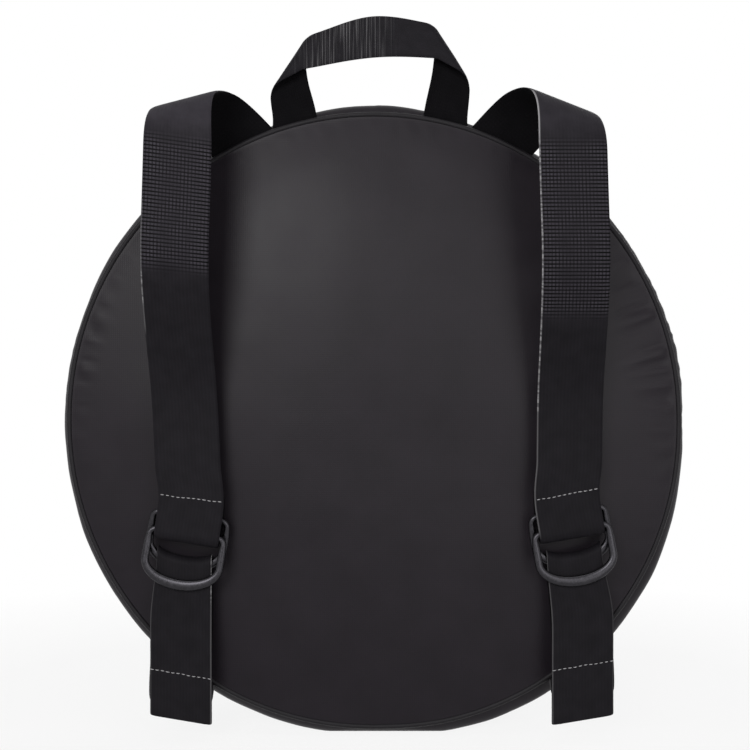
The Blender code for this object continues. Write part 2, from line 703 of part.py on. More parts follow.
def bow_offset():
    """How far each ring's bow lies from the plane between the rings: the tail runs between them."""
    return (FOLD_RADIUS + WEBBING_THICKNESS / 2 + RING_WIRE) / 2 + 2 * GAP


def bow_point(angle, inset):
    """A point of a ring's bow, or of a curve inside it, at this angle from straight down."""
    return Vector(((RING_HALF_WIDTH - inset) * math.sin(angle),
                   RING_BOW - RING_HEIGHT - (RING_BOW - inset) * math.cos(angle)))


def seat_point(reach):
    """Where webbing that lies in the upper ring's bow is, at this distance from the bow's middle."""
    steps, angle, travelled = 90, 0.0, 0.0
    here = bow_point(0.0, FOLD_STAND)
    for index in range(1, steps + 1):
        angle = math.pi / 2 * index / steps
        there = bow_point(angle, FOLD_STAND)
        stretch = (there - here).length
        if travelled + stretch >= abs(reach):
            here = here.lerp(there, (abs(reach) - travelled) / stretch)
            travelled = abs(reach)
            break
        here, travelled = there, travelled + stretch
    here = here + Vector((0, abs(reach) - travelled))
    low = FOLD_STAND - RING_HEIGHT
    return Vector((math.copysign(here.x, reach), low + (here.y - low) * SEAT_CLIMB_SHARE))


def lower_strip(side):
    """The lower strap and its tail as one strip: seam, turn, up behind the rings, over the upper ring's
    bow, down between the rings, and the hem."""
    sign = SIDES[side]
    lean, slant = LOWER_LEAN, LOWER_LEAN / 2
    upper_bow_y = RING_Y + bow_offset()
    up_y = upper_bow_y + FOLD_RADIUS
    turn_radius = (ROOT_Y - up_y) / 2
    step = drift(LOWER_ROOT_RUN, lean, slant, math.pi * turn_radius, False)
    root_x = LOWER_OUT[side] - step.x
    root_height, seam_slope = seam_root(root_x + LOWER_SLIDE, below=True, sign=sign)
    root_z = STAND_HEIGHT - root_height
    bar_z = STAND_HEIGHT - UPPER_BAR_BELOW[side]
    crest = bar_z - RING_HEIGHT * math.cos(RING_TILT) + FOLD_STAND
    up_run = crest - FOLD_RADIUS - (root_z + step.y)
    fold_low = crest - FOLD_RADIUS
    down_run = fold_low - (STAND_HEIGHT - TAIL_END_BELOW + HEM_RADIUS)
    runs = [(LOWER_ROOT_RUN, sign * -slant, turn_radius, math.pi),
            (up_run, 0.0, FOLD_RADIUS, -math.pi),
            (down_run, 0.0, HEM_RADIUS, -math.pi)]
    turn_end = LOWER_ROOT_RUN + math.pi * turn_radius / math.cos(slant)
    fold_start = turn_end + up_run

    def shift(point, along):
        """Draws the webbing into the curve of the upper ring's bow. The tail beyond hangs slanted, and the
        sewn end lies further out than the rings do."""
        near_share = smooth_share((point.z - crest + RING_SETTLE) / RING_SETTLE)
        reach = sign * point.x - LOWER_OUT[side]
        seat = seat_point(reach + SEAT_SLIDE)
        turned_x = seat.x * math.cos(RING_TILT) - seat.y * math.sin(RING_TILT)
        turned_z = seat.x * math.sin(RING_TILT) + seat.y * math.cos(RING_TILT)
        slanted = reach * math.tan(RING_TILT) if along > fold_start else 0.0
        goal_x = RING_OUT[side] + turned_x
        goal_z = bar_z + turned_z
        point.x += sign * (goal_x - sign * point.x) * near_share
        point.z += slanted + (goal_z - crest - slanted) * near_share
        point.x += sign * LOWER_SLIDE * (1 - smooth_share((along - turn_end) / LOWER_SLIDE_FADE))
        return point

    root = Vector((sign * root_x, ROOT_Y, root_z))
    place = upright_place(root, lean, sign, False)
    strip = Strip(runs, HEM_LENGTH, place, shift=shift, end_slants=(sign * (seam_slope - lean), 0.0))
    strip.hinge = (fold_start + math.pi * FOLD_RADIUS + fold_low
                   - (STAND_HEIGHT - TAIL_HINGE_BELOW))
    strip.cut = turn_end + STAND_HEIGHT - LOWER_CUT_BELOW - strip.point(0.0, turn_end).z
    return strip


def swing_line(side):
    """Two points of a strap's swing axis: the middle of its top root, and of the cut in its lower strap."""
    strap, lower = strap_strip(side), lower_strip(side)
    return strap.point(0.0, 0.0), lower.point(0.0, lower.cut)


def axis_cylinder(name, top, bottom, radius, low, high, finish, where, cutters):
    """A cutter cylinder round the swing axis, from low to high beyond the axis's top point."""
    line = (top - bottom).normalized()
    bm = bmesh.new()
    middle = top + line * (low + high) / 2
    place = Matrix.Translation(middle) @ line.to_track_quat("Z", "Y").to_matrix().to_4x4()
    bmesh.ops.create_cone(bm, cap_ends=True, segments=36, radius1=radius, radius2=radius,
                          depth=high - low, matrix=place)
    tool = add_object(name, mesh_from(bm, name), finish, where)
    as_cutter(tool, cutters)
    return tool


def axis_slab(name, top, bottom, low, high, finish, where, cutters):
    """A cutter slab square to the swing axis, from low to high past the axis's bottom point."""
    line = (top - bottom).normalized()
    bm = bmesh.new()
    middle = bottom + line * (low + high) / 2
    size = 4 * WEBBING_WIDTH
    place = (Matrix.Translation(middle) @ line.to_track_quat("Z", "Y").to_matrix().to_4x4()
             @ Matrix.Diagonal((size, size, high - low, 1)))
    bmesh.ops.create_cube(bm, size=1, matrix=place)
    tool = add_object(name, mesh_from(bm, name, smooth=False), finish, where)
    as_cutter(tool, cutters)
    return tool


def build_straps(side, finishes, where, cutters):
    webbing = finishes["webbing"]
    strap = strap_strip(side)
    top, bottom = swing_line(side)
    reach = 4 * SWING_CUT_RADIUS
    low = -2 * WEBBING_WIDTH
    wide = axis_cylinder(f"swing_clearance_{side}", top, bottom, SWING_CUT_RADIUS + GAP / 2, low, reach,
                         webbing, where, cutters)
    tight = axis_cylinder(f"swing_root_{side}", top, bottom, SWING_CUT_RADIUS - GAP / 2, low, reach,
                          webbing, where, cutters)
    fall = strap.bends[3].start
    moving = strap.solid(f"shoulder_strap_{side}", webbing, where)
    boolean(moving, wide, "DIFFERENCE")
    apply_modifiers(moving)
    root = strap.solid(f"strap_root_{side}", webbing, where, end=fall)
    boolean(root, tight, "INTERSECT")
    leg = handle_leg_cutter(side, finishes, where, cutters)
    boolean(root, leg, "DIFFERENCE")
    apply_modifiers(root)

    lower = lower_strip(side)
    above = axis_slab(f"lower_above_{side}", top, bottom, -GAP / 2, WEBBING_WIDTH, webbing, where, cutters)
    below = axis_slab(f"lower_below_{side}", top, bottom, -3 * WEBBING_WIDTH, GAP / 2, webbing, where,
                      cutters)
    lower_root = lower.solid(f"lower_root_{side}", webbing, where, end=lower.cut + CUT_OVERRUN, cells=2,
                             run_step=LOWER_SLIDE_FADE / 4)
    boolean(lower_root, above, "DIFFERENCE")
    apply_modifiers(lower_root)
    lower_moving = lower.solid(f"lower_strap_{side}", webbing, where, start=lower.cut - CUT_OVERRUN,
                               end=lower.hinge - WEBBING_THICKNESS / 2 - GAP, cells=6,
                               angle_step=math.radians(36), run_step=RING_SETTLE / 3)
    boolean(lower_moving, below, "DIFFERENCE")
    apply_modifiers(lower_moving)
    lower.solid(f"strap_tail_{side}", webbing, where, start=lower.hinge, cells=6, beads=(True, False),
                angle_step=math.radians(60), run_step=RING_SETTLE)


def ring_path():
    """Centre line of a ring from the middle of its bar round to it again, with its half height there."""
    corner, half = RING_CORNER, RING_HALF_WIDTH
    side_low = RING_BOW - RING_HEIGHT
    path = []
    for step in range(3):
        angle = math.pi / 4 * step
        path.append((Vector((half - corner + corner * math.sin(angle), corner * math.cos(angle) - corner)),
                     RING_WIRE))
    for step in range(RING_BOW_STEPS + 1):
        angle = math.pi / 2 - math.pi * step / RING_BOW_STEPS
        fullness = RING_WIRE + (RING_BAND - RING_WIRE) * math.cos(angle) ** 2
        path.append((bow_point(angle, 0.0), fullness))
    path += [(Vector((-point.x, point.y)), size) for point, size in reversed(path[:3])]
    return [entry for entry in path if entry[0].y >= side_low or entry[1] > 0]


def build_ring(side, upper, finishes, where):
    """A cast D-ring: an oval section swept round the ring's outline, widest at the middle of its bow."""
    name = f"ring_{'upper' if upper else 'lower'}_{side}"
    place = ring_place(side, upper)
    path = ring_path()
    bm = bmesh.new()
    loops = []
    for index, (point, half_height) in enumerate(path):
        before, after = path[index - 1][0], path[(index + 1) % len(path)][0]
        heading = (after - before).normalized()
        outward = Vector((heading.y, -heading.x))
        ring = []
        for side_index in range(RING_SIDES):
            turn = 2 * math.pi * side_index / RING_SIDES
            offset = outward * half_height * math.cos(turn)
            spot = Vector((point.x + offset.x, RING_WIRE * math.sin(turn), point.y + offset.y))
            ring.append(bm.verts.new(place @ spot))
        loops.append(ring)
    for index, loop in enumerate(loops):
        after = loops[(index + 1) % len(loops)]
        for spot in range(RING_SIDES):
            nxt = (spot + 1) % RING_SIDES
            bm.faces.new((loop[spot], loop[nxt], after[nxt], after[spot]))
    return add_object(name, mesh_from(bm, name), finishes["metal"], where)


# Grab handle

def handle_strip():
    """The handle: up one leg, a slanting roll, across, a second roll, and down the other leg."""
    slant = math.pi / 4
    root_height, seam_slope = seam_root(HANDLE_LEG_OUT)
    root_z = STAND_HEIGHT + root_height
    roll_arc = math.pi * HANDLE_ROLL
    corner = roll_arc * math.sin(slant)
    leg = STAND_HEIGHT + HANDLE_RUN_HEIGHT - corner - root_z
    across = 2 * (HANDLE_LEG_OUT - corner)
    runs = [(leg, slant, HANDLE_ROLL, math.pi), (across, -slant, HANDLE_ROLL, math.pi)]
    total = 2 * leg + across + 2 * roll_arc / math.cos(slant)
    fold_at = leg + roll_arc / math.cos(slant) / 2

    def width(along):
        """Full in the legs, drawn in at the rolls, and nearly full again across the top."""
        from_end = min(along, total - along)
        if from_end < fold_at:
            share = smooth_share(from_end / fold_at)
            return HANDLE_LEG_WIDTH + (HANDLE_FOLD_WIDTH - HANDLE_LEG_WIDTH) * share
        share = smooth_share((from_end - fold_at) / (total / 2 - fold_at))
        return HANDLE_FOLD_WIDTH + (HANDLE_RUN_WIDTH - HANDLE_FOLD_WIDTH) * share

    def shift(point, along):
        """Domes the top run, bows the legs, and moves the handle to the left, where it was sewn."""
        height_share = min(max((point.z - root_z) / (STAND_HEIGHT + HANDLE_RUN_HEIGHT - root_z), 0.0), 1.0)
        from_top = abs(point.x - HANDLE_DOME_OUT) / (HANDLE_LEG_OUT * 4 / 3)
        dome_share = (1 + math.cos(math.pi * min(from_top, 1))) / 2
        point.z += smooth_share(height_share) * (HANDLE_DOME * dome_share + HANDLE_SLOPE_SHARE * point.x)
        leg_share = min(max(point.x / HANDLE_LEG_OUT, -1.0), 1.0)
        point.x += HANDLE_BOW * math.sin(math.pi * height_share) * leg_share - HANDLE_SHIFT
        return point

    root = Vector((-HANDLE_LEG_OUT, ROOT_Y, root_z))
    place = upright_place(root, 0.0, -1, True)
    strip = Strip(runs, leg, place, width=width, shift=shift, end_slants=(seam_slope, -seam_slope))
    strip.hinge = STAND_HEIGHT + HANDLE_HINGE_HEIGHT - root_z
    return strip


def handle_leg_cutter(side, finishes, where, cutters):
    """Room for the handle's leg in the strap's root, which ends under it in the seam."""
    middle = SIDES[side] * HANDLE_LEG_OUT - HANDLE_SHIFT
    reach = HANDLE_LEG_WIDTH / 2 + HANDLE_BOW / 2
    tool = block(f"leg_room_{side}", (middle - reach, ROOT_Y - WEBBING_THICKNESS, STAND_HEIGHT),
                 (middle + reach, ROOT_Y + WEBBING_THICKNESS, STAND_HEIGHT + HANDLE_RUN_HEIGHT),
                 finishes["webbing"], where)
    as_cutter(tool, cutters)
    return tool


def build_handle(finishes, where):
    webbing = finishes["webbing"]
    strip = handle_strip()
    stub = strip.hinge - WEBBING_THICKNESS / 2 - 2 * GAP
    strip.solid("handle_root_left", webbing, where, end=stub)
    strip.solid("handle_root_right", webbing, where, start=strip.length - stub)
    strip.solid("grab_handle", webbing, where, start=strip.hinge, end=strip.length - strip.hinge, cells=3,
                beads=(True, True), angle_step=math.radians(24), run_step=HANDLE_LEG_WIDTH / 3)


def build_finishes():
    return {
        "nylon": material("coated_nylon", (0.022, 0.02, 0.022), 0.5),
        "foam": material("foam_sheet", (0.2, 0.2, 0.2), 0.9),
        "lining": material("lining_cloth", (0.03, 0.03, 0.032), 0.8),
        "piping": material("piping", (0.006, 0.006, 0.007), 0.6),
        "binding": material("binding_tape", (0.01, 0.01, 0.011), 0.8),
        "webbing": material("webbing", (0.016, 0.015, 0.017), 0.7),
        "zip_tape": material("zip_tape", (0.01, 0.01, 0.01), 0.8),
        "zip_coil": material("zip_coil", (0.02, 0.02, 0.02), 0.4),
        "metal": material("gunmetal", (0.09, 0.09, 0.095), 0.35, 1.0),
    }


def main():
    clear_scene()
    where = collection("backpack")
    cutters = collection("cutters")
    finishes = build_finishes()
    for half, front in (("back", False), ("front", True)):
        build_panel(half, front, finishes, where)
        build_seam(half, front, finishes, where)
        build_gusset(half, front, finishes, where)
    for side in SIDES:
        build_slider(side, finishes, where, cutters)
        build_straps(side, finishes, where, cutters)
        for upper in (True, False):
            build_ring(side, upper, finishes, where)
    build_handle(finishes, where)


main()
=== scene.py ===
"""A round black nylon backpack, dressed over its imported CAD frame.

Two padded round panels, a side band with a zip round its middle, webbing straps that pass through D-rings,
and a webbing grab handle. Every soft piece is a finer mesh of the CAD piece that it stands for, with the
gathers, woven grain and stitching of the real one. Metres, +Z up, the straps face -Y.
"""

import math

import bmesh
import bpy
from mathutils import Matrix, Vector, noise


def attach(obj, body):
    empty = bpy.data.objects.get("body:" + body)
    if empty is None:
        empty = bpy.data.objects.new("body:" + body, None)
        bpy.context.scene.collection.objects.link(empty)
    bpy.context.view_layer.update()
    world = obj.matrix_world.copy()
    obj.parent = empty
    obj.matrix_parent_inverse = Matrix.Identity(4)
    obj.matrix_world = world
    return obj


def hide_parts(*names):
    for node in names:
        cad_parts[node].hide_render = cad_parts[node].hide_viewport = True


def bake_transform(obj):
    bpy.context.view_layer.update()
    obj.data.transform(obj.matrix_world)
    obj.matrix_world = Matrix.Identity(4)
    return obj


bl_info = {
    "name": "Round backpack",
    "version": (1, 0, 0),
    "blender": (4, 5, 0),
    "location": "3D Viewport > Sidebar > Backpack",
    "description": "Builds the cloth, webbing, zip and rings of a round backpack, and its stage",
    "category": "Add Mesh",
}

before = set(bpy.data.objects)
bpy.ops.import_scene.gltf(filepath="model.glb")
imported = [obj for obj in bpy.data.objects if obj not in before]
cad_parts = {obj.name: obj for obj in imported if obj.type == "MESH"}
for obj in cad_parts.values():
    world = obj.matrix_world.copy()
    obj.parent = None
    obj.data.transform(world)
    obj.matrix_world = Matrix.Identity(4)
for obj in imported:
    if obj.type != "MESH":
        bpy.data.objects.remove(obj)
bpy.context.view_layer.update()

MM = 0.001
GAP = 0.3 * MM

# Body of the bag, as in the part's source
PIPING_RING_RADIUS = 186 * MM
GUSSET_RADIUS = PIPING_RING_RADIUS + 5.5 * MM
STAND_HEIGHT = GUSSET_RADIUS + 1.9 * MM
BODY_DEPTH = 112 * MM
PANEL_CROWN = 9 * MM
CLOTH_THICKNESS = 1.2 * MM
LINING_THICKNESS = 0.9 * MM
FOAM_THICKNESS = 4.5 * MM
PIPING_RADIUS = 1.6 * MM
BINDING_THICKNESS = 2.2 * MM
BINDING_WIDTH = 8 * MM
# How far the soft side stands out past a true circle, at every 15 degrees from straight down
BELLY = {
    "left": (3.9 * MM, 4.5 * MM, 4.6 * MM, 3.4 * MM, 1.6 * MM, 0.8 * MM, 0.0),
    "right": (3.9 * MM, 7.3 * MM, 8.8 * MM, 8.6 * MM, 6.2 * MM, 3.0 * MM, 0.0),
}
BELLY_DEPTH = 12 * MM
TOP_SWELL = 2.2 * MM
TOP_SWELL_ANGLE = math.radians(13)
UNDER_ANGLE = math.radians(12)
SEAM_BELLY_SHARE = 0.45
FRONT_BELLY_SHARE = 0.6
CROWN_POWER = 3
FOAM_RIM_SHARE = 0.9
PADDING_EDGE_SHARE = 0.82
# The cloth reaches just past the panel's edge, so that no light shows between it and the piping
CLOTH_RIM_SHARE = 1.004
PIPING_UNEVEN = 0.12 * MM
BAND_INWARD = 0.2 * MM

# Gathers along the rim seams: where they are longest, as (middle, half width) from straight down
GATHERS_RIGHT = (math.radians(106), math.radians(17))
GATHERS_LEFT = (math.radians(-103), math.radians(9))
GATHERS_LEFT_SHARE = 0.45
GATHERS_ROUND_SHARE = 0.16
GATHERS_RIGHT_REACH = 26 * MM
GATHERS_LEFT_REACH = 6 * MM
GATHERS_ROUND_REACH = 14 * MM
GATHER_PITCH = 10.2 * MM
GATHER_FADE = 4 * MM
BAND_GATHER_SHARE = 0.3

# Zip
ZIP_END_ANGLE = math.radians(30)
ZIP_SPLIT = 1.6 * MM
TAPE_THICKNESS = 0.8 * MM
TAPE_UNDERLAP = 8 * MM
COIL_WIDTH = 2.8 * MM
COIL_HEIGHT = 2.2 * MM
ZIP_BAND_HALF = 6 * MM
ZIP_STITCH_INSET = 2.6 * MM
ZIP_STITCH_PITCH = 3.6 * MM
ZIP_THREAD_RADIUS = 0.3 * MM
COIL_WIRE_RADIUS = 0.42 * MM
COIL_STEPS = 7

# Webbing
WEBBING_WIDTH = 38 * MM
SHOULDER_WIDTH = 38.8 * MM
LOWER_WIDTH = 36.5 * MM
WEBBING_THICKNESS = 1.8 * MM
WEBBING_WAVE = 0.16 * MM
SEAM_ROOT_RADIUS = PIPING_RING_RADIUS - 0.8 * MM
STRAP_LEAN = math.radians(43)
STRAP_RISE = 4.5 * MM
STRAP_LIFT = {"left": 3.4 * MM, "right": 0.0}
STRAP_SLIDE = {"left": 6 * MM, "right": 0.0}
STRAP_BOW = 2.7 * MM
ROLL_TIGHT_RADIUS = 24 * MM
ROLL_TIGHT_ANGLE = math.radians(75)
ROLL_WIDE_RADIUS = 50 * MM
ROLL_WIDE_ANGLE = math.radians(30)
STRAP_DROP = 50 * MM
SWAY_RADIUS = 90 * MM
SWAY_ANGLE = math.radians(25)
RING_STAND_OFF = 20 * MM
END_FLAP = 24 * MM
FLAP_BEND_RADIUS = 5 * MM
FLAP_BEND_ANGLE = math.radians(30)

# D-rings
RING_HALF_WIDTH = 22.3 * MM
RING_HEIGHT = 30.5 * MM
RING_BOW = 13 * MM
RING_CORNER = 3.6 * MM
RING_WIRE = 1.8 * MM
RING_BAND = 3.2 * MM
RING_ARM_SHARE = 0.35
RING_SQUARENESS = 0.8
RING_TILT = math.radians(9.5)
UPPER_BAR_BELOW = {"left": 57.5 * MM, "right": 55 * MM}
RING_SPACING = 10 * MM
BAR_OFFSET = 2.0 * MM

# Lower strap and its loose tail
FOLD_RADIUS = 4.0 * MM
FOLD_STAND = 5.5 * MM
LOWER_LEAN = math.radians(4)
LOWER_ROOT_RUN = 16 * MM
LOWER_SLIDE = 2 * MM
LOWER_SLIDE_FADE = 45 * MM
RING_SETTLE = 42 * MM
SEAT_SLIDE = 0.5 * MM
SEAT_CLIMB_SHARE = 0.75
TAIL_HINGE_BELOW = 106.5 * MM
TAIL_END_BELOW = 178 * MM
HEM_LENGTH = 26 * MM
HEM_RADIUS = 1.1 * MM
END_STITCHES_ABOVE = 21.5 * MM
END_STITCHES_TILT = {"left": 0.0, "right": math.radians(-4.5)}
HEM_STITCHES_ABOVE = {"left": 26 * MM, "right": 31 * MM}
STITCH_STEPS = 5
STITCH_SINK = 0.5
STITCH_WANDER = 0.5 * MM

# How far from the middle of the bag each strap falls, and its rings and lower webbing lie
FALL_OUT = {"left": 111 * MM, "right": 112.5 * MM}
RING_OUT = {"left": 109.2 * MM, "right": 115.4 * MM}
LOWER_OUT = {"left": 115 * MM, "right": 124.3 * MM}
ROLL_TWIST_SHARE = {"left": 0.14, "right": 0.0}
SIDES = {"left": -1, "right": 1}

# Grab handle
HANDLE_LEG_OUT = 47.3 * MM
HANDLE_SHIFT = 2.4 * MM
HANDLE_RUN_HEIGHT = PIPING_RING_RADIUS + 38.4 * MM
HANDLE_LEG_WIDTH = 28 * MM
HANDLE_FOLD_WIDTH = 19.5 * MM
HANDLE_RUN_WIDTH = 23.8 * MM
HANDLE_DOME = 8 * MM
HANDLE_DOME_OUT = 3 * MM
HANDLE_ROOT_IN = 1.4 * MM
HANDLE_FOLD_OUT = 3.9 * MM
HANDLE_CORNER_OUT = 37.5 * MM
HANDLE_CORNER_SAG = {-1: 8.6 * MM, 1: 11 * MM}
HANDLE_SLOPE_SHARE = 0.085
HANDLE_CORNER_SHARE = 0.7
HANDLE_DOME_SHARE = 1.16
HANDLE_ROLL = 4.2 * MM

# Places that follow from the sizes above
ROLL_FORWARD = (2 * ROLL_TIGHT_RADIUS * (1 - math.cos(ROLL_TIGHT_ANGLE))
                + 2 * ROLL_WIDE_RADIUS * math.sin(ROLL_WIDE_ANGLE / 2))
BACK_SEAM_Y = (ROLL_FORWARD - PIPING_RADIUS - GAP - BODY_DEPTH - PANEL_CROWN - CLOTH_THICKNESS / 2) / 2
FRONT_SEAM_Y = BACK_SEAM_Y + BODY_DEPTH
PANEL_RADIUS = PIPING_RING_RADIUS - PIPING_RADIUS - GAP
ROOT_Y = BACK_SEAM_Y + PIPING_RADIUS + GAP + WEBBING_THICKNESS / 2
RING_Y = BACK_SEAM_Y - RING_STAND_OFF

# The camera stands where the photograph was taken from
CAMERA_PLACE = (0.6 * MM, BACK_SEAM_Y - 800 * MM, STAND_HEIGHT + 26.9 * MM)
CAMERA_LENS = 62.88


class BackpackSizes(bpy.types.PropertyGroup):
    """Sizes of the soft pieces that can change without moving the CAD frame."""

    gather_depth: bpy.props.FloatProperty(
        name="Gather depth", description="Depth of the gathers that the rim seam pulls into the panels",
        default=0.9 * MM, min=0, max=3 * MM, unit="LENGTH", subtype="DISTANCE")
    drape_depth: bpy.props.FloatProperty(
        name="Drape depth", description="Depth of the broad soft hollows in the panels and side band",
        default=1.1 * MM, min=0, max=4 * MM, unit="LENGTH", subtype="DISTANCE")
    stitch_length: bpy.props.FloatProperty(
        name="Stitch length", description="Length of thread that shows in one stitch",
        default=1.8 * MM, min=1 * MM, max=8 * MM, unit="LENGTH", subtype="DISTANCE")
    stitch_pitch: bpy.props.FloatProperty(
        name="Stitch pitch", description="Distance from one stitch to the next",
        default=3.1 * MM, min=1.5 * MM, max=12 * MM, unit="LENGTH", subtype="DISTANCE")
    thread_radius: bpy.props.FloatProperty(
        name="Thread radius", description="Radius of the sewing thread",
        default=0.3 * MM, min=0.1 * MM, max=1 * MM, unit="LENGTH", subtype="DISTANCE")
    coil_pitch: bpy.props.FloatProperty(
        name="Zip coil pitch", description="Distance between two turns of the zip's coil",
        default=2.0 * MM, min=1.2 * MM, max=4 * MM, unit="LENGTH", subtype="DISTANCE")


def colour_property(name, description, value):
    """A colour that the user can change."""
    return bpy.props.FloatVectorProperty(name=name, description=description, subtype="COLOR_GAMMA", size=3,
                                         min=0, max=1, default=value)


def hex_parts(text):
    """An sRGB hex colour as three shares from 0 to 1."""
    return tuple(int(text[place:place + 2], 16) / 255 for place in (1, 3, 5))


class BackpackColours(bpy.types.PropertyGroup):
    """Colours of the finishes, as sRGB."""

    nylon: colour_property("Nylon", "Coated nylon of the panels and the side band", hex_parts("#1e1a1f"))
    webbing: colour_property("Webbing", "Straps and grab handle", hex_parts("#242226"))
    piping: colour_property("Piping", "Cord-filled piping in the rim seams", hex_parts("#1c1a1d"))
    thread: colour_property("Thread", "Sewing thread", hex_parts("#b6b4b6"))
    metal: colour_property("Gunmetal", "Plated rings, sliders and pulls", hex_parts("#353437"))
    lining: colour_property("Lining", "Lining cloth", hex_parts("#343338"))
    binding: colour_property("Binding", "Binding tape over the raw edges", hex_parts("#222124"))
    foam: colour_property("Foam", "Foam sheet in the panels", hex_parts("#6b6b6e"))
    zip_tape: colour_property("Zip tape", "Woven tape of the zip", hex_parts("#1f1e20"))
    zip_coil: colour_property("Zip coil", "Nylon coil of the zip", hex_parts("#2a292c"))


# Materials. Spacings of threads, across and along the cloth, are in millimetres

# Threads of 0.4 mm are too fine for the picture, so the weave is drawn at 1.3 mm
NYLON_SPACING = (1.3, 1.3)
WEBBING_SPACING = (2.0, 2.15)
RIB_FADE = 4 * MM
EDGE_HIGHLIGHT_FADE = 3 * MM
# Where a painted highlight along an edge starts and is full, as shares of the webbing's width from its middle
EDGE_HIGHLIGHT_SHARES = (0.474, 0.49)
CREASE_FADE = 9 * MM


def linear(colour):
    """An sRGB colour as the linear RGBA that shaders take."""
    return tuple(c / 12.92 if c <= 0.04045 else ((c + 0.055) / 1.055) ** 2.4 for c in colour) + (1.0,)


def add_node(tree, kind, inputs=None, **settings):
    """Adds a node, sets its properties, and gives each input its value or its link."""
    made = tree.nodes.new(kind)
    for name, value in settings.items():
        setattr(made, name, value)
    for name, value in (inputs or {}).items():
        if isinstance(value, bpy.types.NodeSocket):
            tree.links.new(value, made.inputs[name])
        else:
            made.inputs[name].default_value = value
    return made


def shaded(name, roughness, **constants):
    """A material with its principled shader set, and the tree, the shader and the cloth's own coordinates."""
    made = bpy.data.materials.new(name)
    made.use_nodes = True
    tree = made.node_tree
    shader = tree.nodes["Principled BSDF"]
    shader.inputs["Roughness"].default_value = roughness
    for socket, value in constants.items():
        shader.inputs[socket.replace("_", " ")].default_value = value
    chart = add_node(tree, "ShaderNodeUVMap", uv_map="cloth")
    return made, tree, shader, chart.outputs["UV"]


def threads(tree, chart, across_mm, along_mm):
    """Two sets of threads at right angles: fields from 0 to 1 that rise on each thread."""
    apart = add_node(tree, "ShaderNodeSeparateXYZ", {"Vector": chart})
    fields = []
    for axis, spacing in (("X", across_mm), ("Y", along_mm)):
        turns = add_node(tree, "ShaderNodeMath", {0: apart.outputs[axis], 1: 2 * math.pi / (spacing * MM)},
                         operation="MULTIPLY").outputs[0]
        wave = add_node(tree, "ShaderNodeMath", {0: turns}, operation="SINE").outputs[0]
        fields.append(add_node(tree, "ShaderNodeMath", {0: wave, 1: 0.5, 2: 0.5},
                               operation="MULTIPLY_ADD").outputs[0])
    return apart, fields


def coated_nylon():
    """Plain-woven nylon with a coating: a satin face on which broad creases catch a soft light."""
    colours = bpy.context.scene.backpack_colours
    made, tree, shader, chart = shaded("coated_nylon", 0.38, Specular_IOR_Level=0.14)
    _, (warp, weft) = threads(tree, chart, *NYLON_SPACING)
    weave = add_node(tree, "ShaderNodeMath", {0: warp, 1: weft}, operation="MULTIPLY").outputs[0]
    mottle = add_node(tree, "ShaderNodeTexNoise", {"Vector": chart, "Scale": 1 / (30 * MM), "Detail": 2.0,
                                                   "Roughness": 0.5}).outputs["Fac"]
    shade = add_node(tree, "ShaderNodeMapRange", {"Value": mottle, "From Min": 0.3, "From Max": 0.7,
                                                  "To Min": 0.9, "To Max": 1.12}).outputs[0]
    thread_shade = add_node(tree, "ShaderNodeMapRange", {"Value": weave, "To Min": 0.98,
                                                         "To Max": 1.02}).outputs[0]
    total = add_node(tree, "ShaderNodeMath", {0: shade, 1: thread_shade}, operation="MULTIPLY").outputs[0]
    colour = add_node(tree, "ShaderNodeVectorMath", {0: linear(colours.nylon)[:3], "Scale": total},
                      operation="SCALE").outputs[0]
    tree.links.new(colour, shader.inputs["Base Color"])
    crinkle = add_node(tree, "ShaderNodeTexNoise", {"Vector": chart, "Scale": 1 / (5 * MM), "Detail": 3.0,
                                                    "Roughness": 0.55}).outputs["Fac"]
    relief = add_node(tree, "ShaderNodeMath", {0: crinkle, 1: 1.4, 2: weave},
                      operation="MULTIPLY_ADD").outputs[0]
    bump = add_node(tree, "ShaderNodeBump", {"Height": relief, "Strength": 0.2, "Distance": 0.1 * MM})
    tree.links.new(bump.outputs[0], shader.inputs["Normal"])
    gloss = add_node(tree, "ShaderNodeMapRange", {"Value": mottle, "To Min": 0.33, "To Max": 0.43}).outputs[0]
    tree.links.new(gloss, shader.inputs["Roughness"])
    return made


def span(tree, value, low, high, soft):
    """1 where value lies between low and high, 0 outside, with ramps this soft."""
    into = add_node(tree, "ShaderNodeMapRange", {"Value": value, "From Min": low - soft,
                                                 "From Max": low + soft}).outputs[0]
    out = add_node(tree, "ShaderNodeMapRange", {"Value": value, "From Min": high + soft,
                                                "From Max": high - soft}).outputs[0]
    return add_node(tree, "ShaderNodeMath", {0: into, 1: out}, operation="MULTIPLY").outputs[0]


